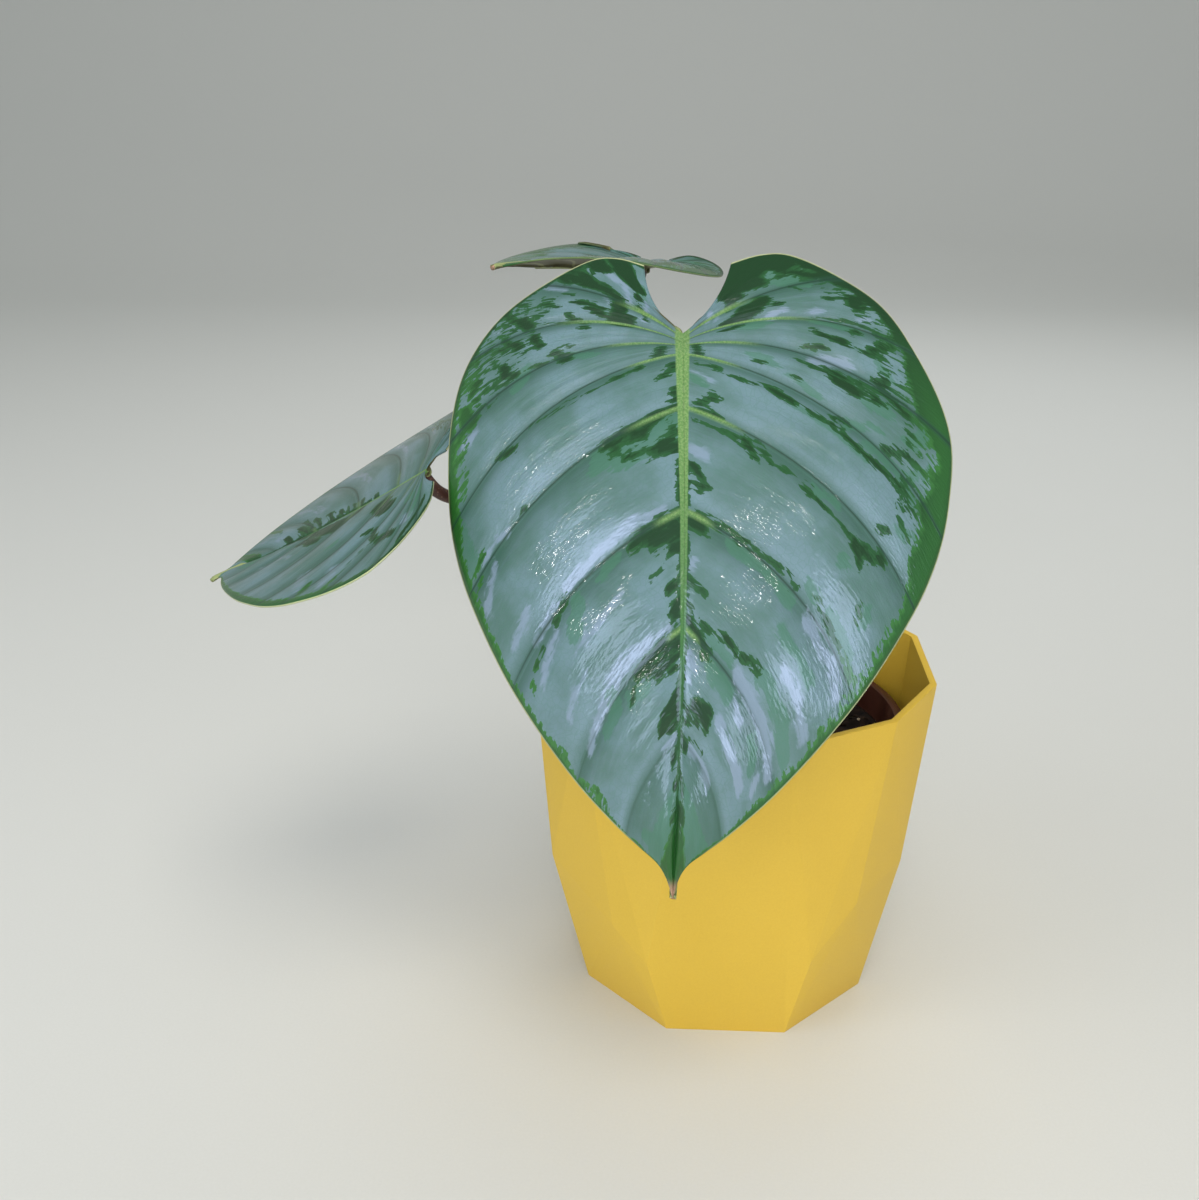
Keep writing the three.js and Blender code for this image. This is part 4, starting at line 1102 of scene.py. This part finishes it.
# %% Leaf finish: glossy cuticle over silver blisters and green
# All measures are in millimetres on the flat leaf, except shares and the markings.
cuticle, tree = material("silver_blistered_leaf")
(across_leaf, down_leaf, edge), _ = attribute(tree, "flat")
flat = node(tree, "ShaderNodeCombineXYZ", {"X": across_leaf, "Y": down_leaf}).outputs["Vector"]
_, weave = attribute(tree, "weave")
(green, wash, sheen), _ = attribute(tree, "paint")
(pale, past_vein, sparkle), _ = attribute(tree, "stub")
(furrow, rib, down), _ = attribute(tree, "gauge")
print("measures read by", sum(found.type == "ATTRIBUTE" for found in tree.nodes), "attribute nodes")

# %% Ragged borders of the markings
# The finest veins are parallel threads, here 11 mm long and 3 mm apart, and a pattern counted in
# threads is drawn out along them. A marking ends at the threads, in small steps, and two slower noises
# let its border wander as well.
THREADS_PER_MM = (0.09, 0.34, 1.0)
STEPS_PER_THREAD = 2.4
FRAYING = 1.0
WANDERING = 6.25

fibre = node(tree, "ShaderNodeMapping", {"Vector": weave, "Scale": THREADS_PER_MM}).outputs["Vector"]
cells = node(tree, "ShaderNodeTexVoronoi", {"Vector": fibre, "Scale": STEPS_PER_THREAD, "Randomness": 1.0})
step = node(tree, "ShaderNodeSeparateColor", {"Color": cells.outputs["Color"]}).outputs["Red"]
frayed = noise_node(tree, fibre, FRAYING, 4.0, 0.6)
rounded = noise_node(tree, flat, WANDERING, 3.0, 0.6)
ragged = math_node(tree, "MULTIPLY_ADD", frayed, 0.3, -0.15)
ragged = math_node(tree, "ADD", ragged, math_node(tree, "MULTIPLY_ADD", rounded, 0.34, -0.17))
ragged = math_node(tree, "ADD", ragged, math_node(tree, "MULTIPLY_ADD", step, 0.16, -0.08))
field = math_node(tree, "ADD", green, ragged)
is_green = step_between(tree, field, 0.46, 0.49)
is_half = step_between(tree, math_node(tree, "ADD", wash, ragged), 0.42, 0.5, 0.0, 0.6)
is_deep = step_between(tree, field, 0.5, 0.66)
is_painted_sheen = step_between(tree, math_node(tree, "ADD", sheen, ragged), 0.4, 0.62)
print("nodes for the borders:", len(tree.nodes))

# %% Silver
# Grey-green clouds with paler streaks along the side veins, painted shade just past each side vein and
# a painted highlight just before the next, a net of the finest veins, and painted shade, greener too,
# next to the furrows. The pale blue of the sheen strokes is a painted reflection of the windows.
# Clouds and net are in millimetres and the streaks in threads.
SILVER_CLOUDS = 28.6
STREAKS = 1.25
NET_CELLS = 2.38

slow = noise_node(tree, flat, SILVER_CLOUDS, 3.0)
silver = mixed(tree, step_between(tree, slow, 0.38, 0.62), srgb("#50726a"), srgb("#68868b"))
streaks = noise_node(tree, fibre, STREAKS, 4.0, 0.6)
silver = mixed(tree, step_between(tree, streaks, 0.48, 0.68, 0.0, 0.25), silver, srgb("#6e8793"))
silver = mixed(tree, step_between(tree, streaks, 0.28, 0.46, 0.3, 0.0), silver, srgb("#3f6a58"))
# Painted shade just past each side vein, and a painted highlight just before the next.
silver = mixed(tree, step_between(tree, past_vein, 0.0, 0.35, 0.6, 0.0), silver, srgb("#31534a"))
silver = mixed(tree, step_between(tree, past_vein, 0.6, 0.92, 0.0, 0.4), silver, srgb("#7d98a3"))
net = node(tree, "ShaderNodeTexVoronoi", {
    "Vector": flat, "Scale": 1 / NET_CELLS, "Randomness": 1.0,
}, feature="DISTANCE_TO_EDGE").outputs["Distance"]
silver = mixed(tree, step_between(tree, net, 0.0, 0.09, 0.2, 0.0), silver, srgb("#47775f"))
# Painted shade in the creases, greener like the veins, within 6 mm of each furrow.
silver = mixed(tree, step_between(tree, furrow, 0.5, 6.0, 0.6, 0.0), silver, srgb("#335c49"))
# A pale blue painted reflection of the windows on the sheen strokes.
silver = mixed(tree, math_node(tree, "MULTIPLY", is_painted_sheen, 0.6), silver, srgb("#8a9db4"))
print("nodes with the silver:", len(tree.nodes))

# %% Green
# Deep where a marking is wide, and fresher within some 20 mm of the leaf's edge.
fresh = step_between(tree, edge, 4.0, 24.0, 1.0, 0.0)
fresh = math_node(tree, "MULTIPLY", fresh, step_between(tree, down, -0.12, 0.18))
light_green = mixed(tree, fresh, srgb("#1e5427"), srgb("#33702e"))
deep_green = mixed(tree, fresh, srgb("#0c3813"), srgb("#215a20"))
leafy = mixed(tree, is_deep, light_green, deep_green)
shade = mixed(tree, is_half, silver, srgb("#3f7558"))
shade = mixed(tree, is_green, shade, leafy)
print("nodes with the green:", len(tree.nodes))

# %% Veins, midrib, edge and tip
# Each furrow gets painted shade at its bottom, first a wide faint band, then a thin line that is partly
# the vein's own dark green: reach in millimetres, weight and colour. The veins are pale where they leave
# the midrib, and the tip ends in a dry brown point.
FURROW_SHADE_LINES = [(1.3, 0.6, "#1f4a35"), (0.45, 0.65, "#123322")]
SAP_FRECKLES = 0.77

near_tip = step_between(tree, down, 0.5, 0.72, 1.0, 0.3)
# Painted shade along the bottom of each furrow.
for reach, weight, tint in FURROW_SHADE_LINES:
    line = math_node(tree, "MULTIPLY", step_between(tree, furrow, 0.1, reach, weight, 0.0), near_tip)
    shade = mixed(tree, line, shade, srgb(tint))
freckles = noise_node(tree, flat, SAP_FRECKLES, 2.0, 0.7)
sap = mixed(tree, step_between(tree, freckles, 0.36, 0.66), srgb("#5f8a45"), srgb("#7d9f5e"))
faded = mixed(tree, step_between(tree, down, 0.1, 0.65), sap, srgb("#2f6a30"))
shade = mixed(tree, pale, shade, sap)
midrib = step_between(tree, rib, 0.75, 1.1, 1.0, 0.0)
midrib = math_node(tree, "MULTIPLY", midrib, step_between(tree, down, 0.5, 0.75, 1.0, 0.2))
shade = mixed(tree, midrib, shade, faded)
before_tip = step_between(tree, down, 0.85, 0.93, 1.0, 0.0)
pale_edge = math_node(tree, "MULTIPLY", step_between(tree, edge, 0.25, 0.6, 0.9, 0.0), before_tip)
shade = mixed(tree, pale_edge, shade, srgb("#c6ce98"))
shade = mixed(tree, step_between(tree, down, 0.955, 0.985), shade, srgb("#b08b6f"))
print("nodes with the veins:", len(tree.nodes))

# %% Skin
# A clear glossy coat over the satin leaf. The finest wrinkles of a real leaf are too small to show, so
# they are drawn three to a thread. They break up the mirrored windows, and turn the bulbs into glints.
WRINKLE = 1 / 3
GRAIN = 0.625
RELIEF_HEIGHT = 0.45 * MM
WRINKLE_HEIGHT = 0.3 * MM

wrinkle = noise_node(tree, fibre, WRINKLE, 1.0, 0.5)
grain = noise_node(tree, flat, GRAIN, 3.0, 0.7)
relief = math_node(tree, "MULTIPLY_ADD", wrinkle, 0.3, frayed)
relief = math_node(tree, "ADD", relief, math_node(tree, "MULTIPLY", grain, 0.25))
bump = node(tree, "ShaderNodeBump", {"Height": relief, "Strength": 0.7, "Distance": RELIEF_HEIGHT})
glitter = step_between(tree, sparkle, 0.3, 0.6, 0.4, 1.0)
glints = node(tree, "ShaderNodeBump", {
    "Height": wrinkle, "Strength": glitter, "Distance": WRINKLE_HEIGHT,
})
finish_material(tree, {
    "Base Color": shade, "Roughness": 0.5, "IOR": 1.35, "Normal": bump.outputs["Normal"],
    "Coat Weight": math_node(tree, "MULTIPLY_ADD", is_painted_sheen, 0.4, 0.6), "Coat Roughness": 0.06,
    "Coat IOR": 1.5, "Coat Normal": glints.outputs["Normal"],
})
print("nodes in all:", len(tree.nodes))

# %% Underside finish: dull olive leaf
# The underside has no blisters and no gloss. It is a dull olive, and its raised veins are paler.
UNDERSIDE_CLOUDS = 12.5

under, tree = material("olive_leaf_underside")
(furrow, rib, _), _ = attribute(tree, "gauge")
_, flat = attribute(tree, "flat")
slow = noise_node(tree, flat, UNDERSIDE_CLOUDS, 3.0)
shade = mixed(tree, slow, srgb("#474a2a"), srgb("#605e38"))
shade = mixed(tree, step_between(tree, furrow, 0.3, 0.9, 0.6, 0.0), shade, srgb("#8c9460"))
shade = mixed(tree, step_between(tree, rib, 0.8, 1.4, 1.0, 0.0), shade, srgb("#9aa56b"))
finish_material(tree, {"Base Color": shade, "Roughness": 0.5, "IOR": 1.45})

# %% [markdown]
# ## Blades
# A blade is less than a millimetre thick, and what the eye reads first is its quilting: it stands up in
# soft pillows between side veins that are pressed in. A displacement texture would need millions of
# faces to follow those veins. Instead a flat grid is laid so that its rows follow the veins: columns
# run from edge to edge and rows from the notch to the tip, crowded towards the midrib. Every point is
# then moved to its place on the bent leaf. The grid is one skin, and a Solidify modifier gives it its
# thickness.

# %% Quilting
# The pillows in the lobes are lower, and a faint crease runs down the middle of each pillow.
LOBE_VEINS = 4
LOBE_QUILTING = 0.55
CREASE_DEPTH = 0.22
CREASE_WIDTH = 0.07
CREASE_SHIFT = 0.06
UNEVENNESS = 0.16


def smooth(low, high, value):
    share = min(1.0, max(0.0, (value - low) / (high - low)))
    return share * share * (3 - 2 * share)


def quilting(leaf, vein, out, side):
    """Height of the pillows in millimetres."""
    wave = abs(math.sin(math.pi * vein))
    pillow = 0.5 * wave ** 2 + 0.5 * wave ** 0.75
    off_crease = vein - math.floor(vein) - 0.5 - CREASE_SHIFT * side
    pillow -= CREASE_DEPTH * math.exp(-(off_crease / CREASE_WIDTH) ** 2) * (1 - smooth(0.35, 0.9, out))
    pillow += UNEVENNESS * noise.noise(Vector((out * 3.1, vein * 3.3, 5.0 * side)))
    across = math.sin(math.pi * min(out, 1) ** 0.8)
    return leaf["quilting"] * pillow * across * (LOBE_QUILTING if vein < LOBE_VEINS else 1)


middle_pillow = quilting(LEAVES["large"], 5.5, 0.4, 1)
print("pillow in the middle of the large leaf:", round(middle_pillow, 2), "mm high")

# %% Place and thickness of a point
# Half width of the midrib's groove by distance from the joint, on a leaf as long as the large one.
MIDRIB_WIDTHS = [(0, 2.6), (20, 2.0), (50, 1.35), (90, 0.95), (125, 0.5), (183, 0.2)]
GROOVE_SPREAD = 1.6
GROOVE_DEPTH = 0.35
GROOVE_END = (110, 175)
THICKNESS_AT_RIB = 2.7
THICKNESS_AT_EDGE = 0.6


def midrib_half_width(leaf, y):
    return table(max(0.0, y), MIDRIB_WIDTHS) * leaf["length"] / MIDRIB


def upper_point(leaf, vein, out, side, flat):
    """Where a point of the upper skin lies, in millimetres, quilted and grooved along the midrib."""
    groove = math.exp(-(flat.x / (GROOVE_SPREAD * midrib_half_width(leaf, flat.y))) ** 2)
    groove *= 1 - smooth(*GROOVE_END, flat.y)
    lift = quilting(leaf, vein, out, side) + THICKNESS / 2
    lift -= GROOVE_DEPTH * leaf["length"] / MIDRIB * groove
    point, normal = bent(leaf, side * flat.x, flat.y, 1 - out * out)
    return point + normal * lift


def wall_share(out, flat):
    """Thickness of the blade at a place, as a share of its thickness at the midrib."""
    rib = max(0.0, 1 - flat.x / RIB_HALF_WIDTH) * (1 - 0.85 * flat.y / MIDRIB)
    thick = max(lerp(THICKNESS, THICKNESS_AT_RIB, rib), THICKNESS_AT_EDGE)
    return lerp(thick, THICKNESS_AT_EDGE, smooth(0.93, 1.0, out)) / THICKNESS_AT_RIB


print("midrib of the large leaf:", midrib_half_width(LEAVES["large"], 0), "mm half width at the joint")

# %% Measures that the finish reads
# flat: place on the flat leaf, and distance from its edge.
# weave: place along and across the threads.
# paint: how deep the place lies in the green, the fainter green and the sheen strokes of painted reflection.
# gauge: distance from the nearest side vein, from the midrib, and share of the way to the tip.
# stub: how pale a vein is there, share of the way from one vein to the next, and sparkle.
LAYERS = ("flat", "weave", "paint", "gauge", "stub")
# Rough distance between side veins in millimetres: in the middle of the leaf and elsewhere. Next to
# the first and the last vein, which are no furrows, the distance is a fixed one.
WIDE_SPACING = 33.0
CLOSE_SPACING = 18.0
NO_FURROW = 9.0
# The weave runs on across the midrib, so its halves are set apart.
HALVES_APART = 40
# On the smaller leaves the pale edge is duller: this is how far in millimetres it is pushed off them,
# and this is the most that their sheen strokes, with their painted reflection, come to.
DULLER_EDGE = 0.9
SOFTER_SHEEN = 0.5
# Side veins that stay pale near the midrib: number, half width in millimetres, and how far out.
PALE_VEINS = [
    (1, 2.2, 0.5), (2, 1.2, 0.6), (3, 1.0, 0.3), (4, 1.2, 0.2), (5, 1.3, 0.22), (6, 0.8, 0.14),
    (7, 0.7, 0.12),
]


def pale_vein(vein, out, spacing, scale):
    """How pale a place is because a side vein has just left the midrib there."""
    palest = 0.0
    for number, wide, reach in PALE_VEINS:
        widths_off = abs(vein - number) * spacing / (wide * scale)
        palest = max(palest, (1 - smooth(reach / 2, reach, out)) * (1 - smooth(0.6, 1.1, widths_off)))
    return palest


def measures(name, leaf, vein, out, side, flat, length):
    """Three numbers for each layer. length is that of the row from midrib to edge, unscaled."""
    scale = leaf["length"] / MIDRIB
    painted = PAINTED[name][0 if side > 0 else 1]
    spacing = WIDE_SPACING if 4 < vein < 8 else CLOSE_SPACING
    beside_furrow = round(vein) not in (0, LAST_VEIN)
    off_vein = abs(vein - round(vein)) * spacing if beside_furrow else NO_FURROW
    edge = (1 - out) * length * scale + (1 - scale) * DULLER_EDGE
    most_sheen = 1.0 if name == "large" else SOFTER_SHEEN
    sheen = min(covered(painted.get("sheen", []), vein, out), most_sheen)
    wash = covered(painted.get("half", []), vein, out)
    sparkle = covered(painted.get("sparkle", []), vein, out)
    past_vein = vein - math.floor(vein) if 1 <= vein < LAST_VEIN - 1 else 0.5
    stub = pale_vein(vein, out, spacing, scale) * scale ** 2
    rib = flat.x / midrib_half_width(leaf, flat.y) / scale
    return {
        "flat": (side * flat.x * scale, flat.y * scale, edge),
        "weave": (out * length * scale, vein * WIDE_SPACING * scale, HALVES_APART * side),
        "paint": (greenness(painted, vein, out), wash, sheen),
        "stub": (stub, past_vein, sparkle),
        "gauge": (off_vein * scale, rib, flat.y / MIDRIB),
    }


print("layers:", LAYERS)

# %% Blades
COLUMN_CROWDING = 1.35
# A place well inside one half, where the skin has to face up.
FACING_TEST = Vector((30, 60))


def face_up(bm, leaf, flat_layer):
    """Turns the skin over if it faces down."""
    wanted = bent(leaf, *FACING_TEST, 1)[1]
    spot = FACING_TEST * leaf["length"] / MIDRIB
    near = min(bm.faces, key=lambda face: (Vector(face.verts[0][flat_layer]).xy - spot).length)
    near.normal_update()
    if near.normal.dot(wanted) < 0:
        bmesh.ops.reverse_faces(bm, faces=bm.faces)


def blade_skin(name, leaf):
    """The upper skin of a leaf, with its measures and its thickness stored on its points."""
    bm = bmesh.new()
    bmesh.ops.create_grid(
        bm, x_segments=leaf["columns"], y_segments=leaf["rows"] * LAST_VEIN, size=1.0,
    )
    layers = {key: bm.verts.layers.float_vector.new(key) for key in LAYERS}
    wall = bm.verts.layers.deform.verify()
    lengths = {}
    for vert in bm.verts:
        side = -1 if vert.co.x < 0 else 1
        out = abs(vert.co.x) ** COLUMN_CROWDING
        vein = min(LAST_VEIN, (1 - vert.co.y) / 2 * LAST_VEIN)
        row = round(vein, 4)
        if row not in lengths:
            lengths[row] = (flat_point(vein, 1) - flat_point(vein, 0)).length
        flat = flat_point(vein, out)
        for key, numbers in measures(name, leaf, vein, out, side, flat, lengths[row]).items():
            vert[layers[key]] = numbers
        vert[wall][0] = wall_share(out, flat)
        vert.co = upper_point(leaf, vein, out, side, flat) * MM
    bmesh.ops.remove_doubles(bm, verts=bm.verts, dist=0.0001 * MM)
    face_up(bm, leaf, layers["flat"])
    return bm


def blade(name, leaf):
    bm = blade_skin(name, leaf)
    skin = finished(bm, "leaf_" + name, [cuticle, under], "blade_" + name, smooth_angle=180)
    skin.vertex_groups.new(name="wall")
    solid = skin.modifiers.new("thickness", "SOLIDIFY")
    solid.thickness = THICKNESS_AT_RIB * MM
    solid.offset = -1
    solid.vertex_group = "wall"
    solid.material_offset = 1
    solid.material_offset_rim = 0


for name, leaf in LEAVES.items():
    blade(name, leaf)
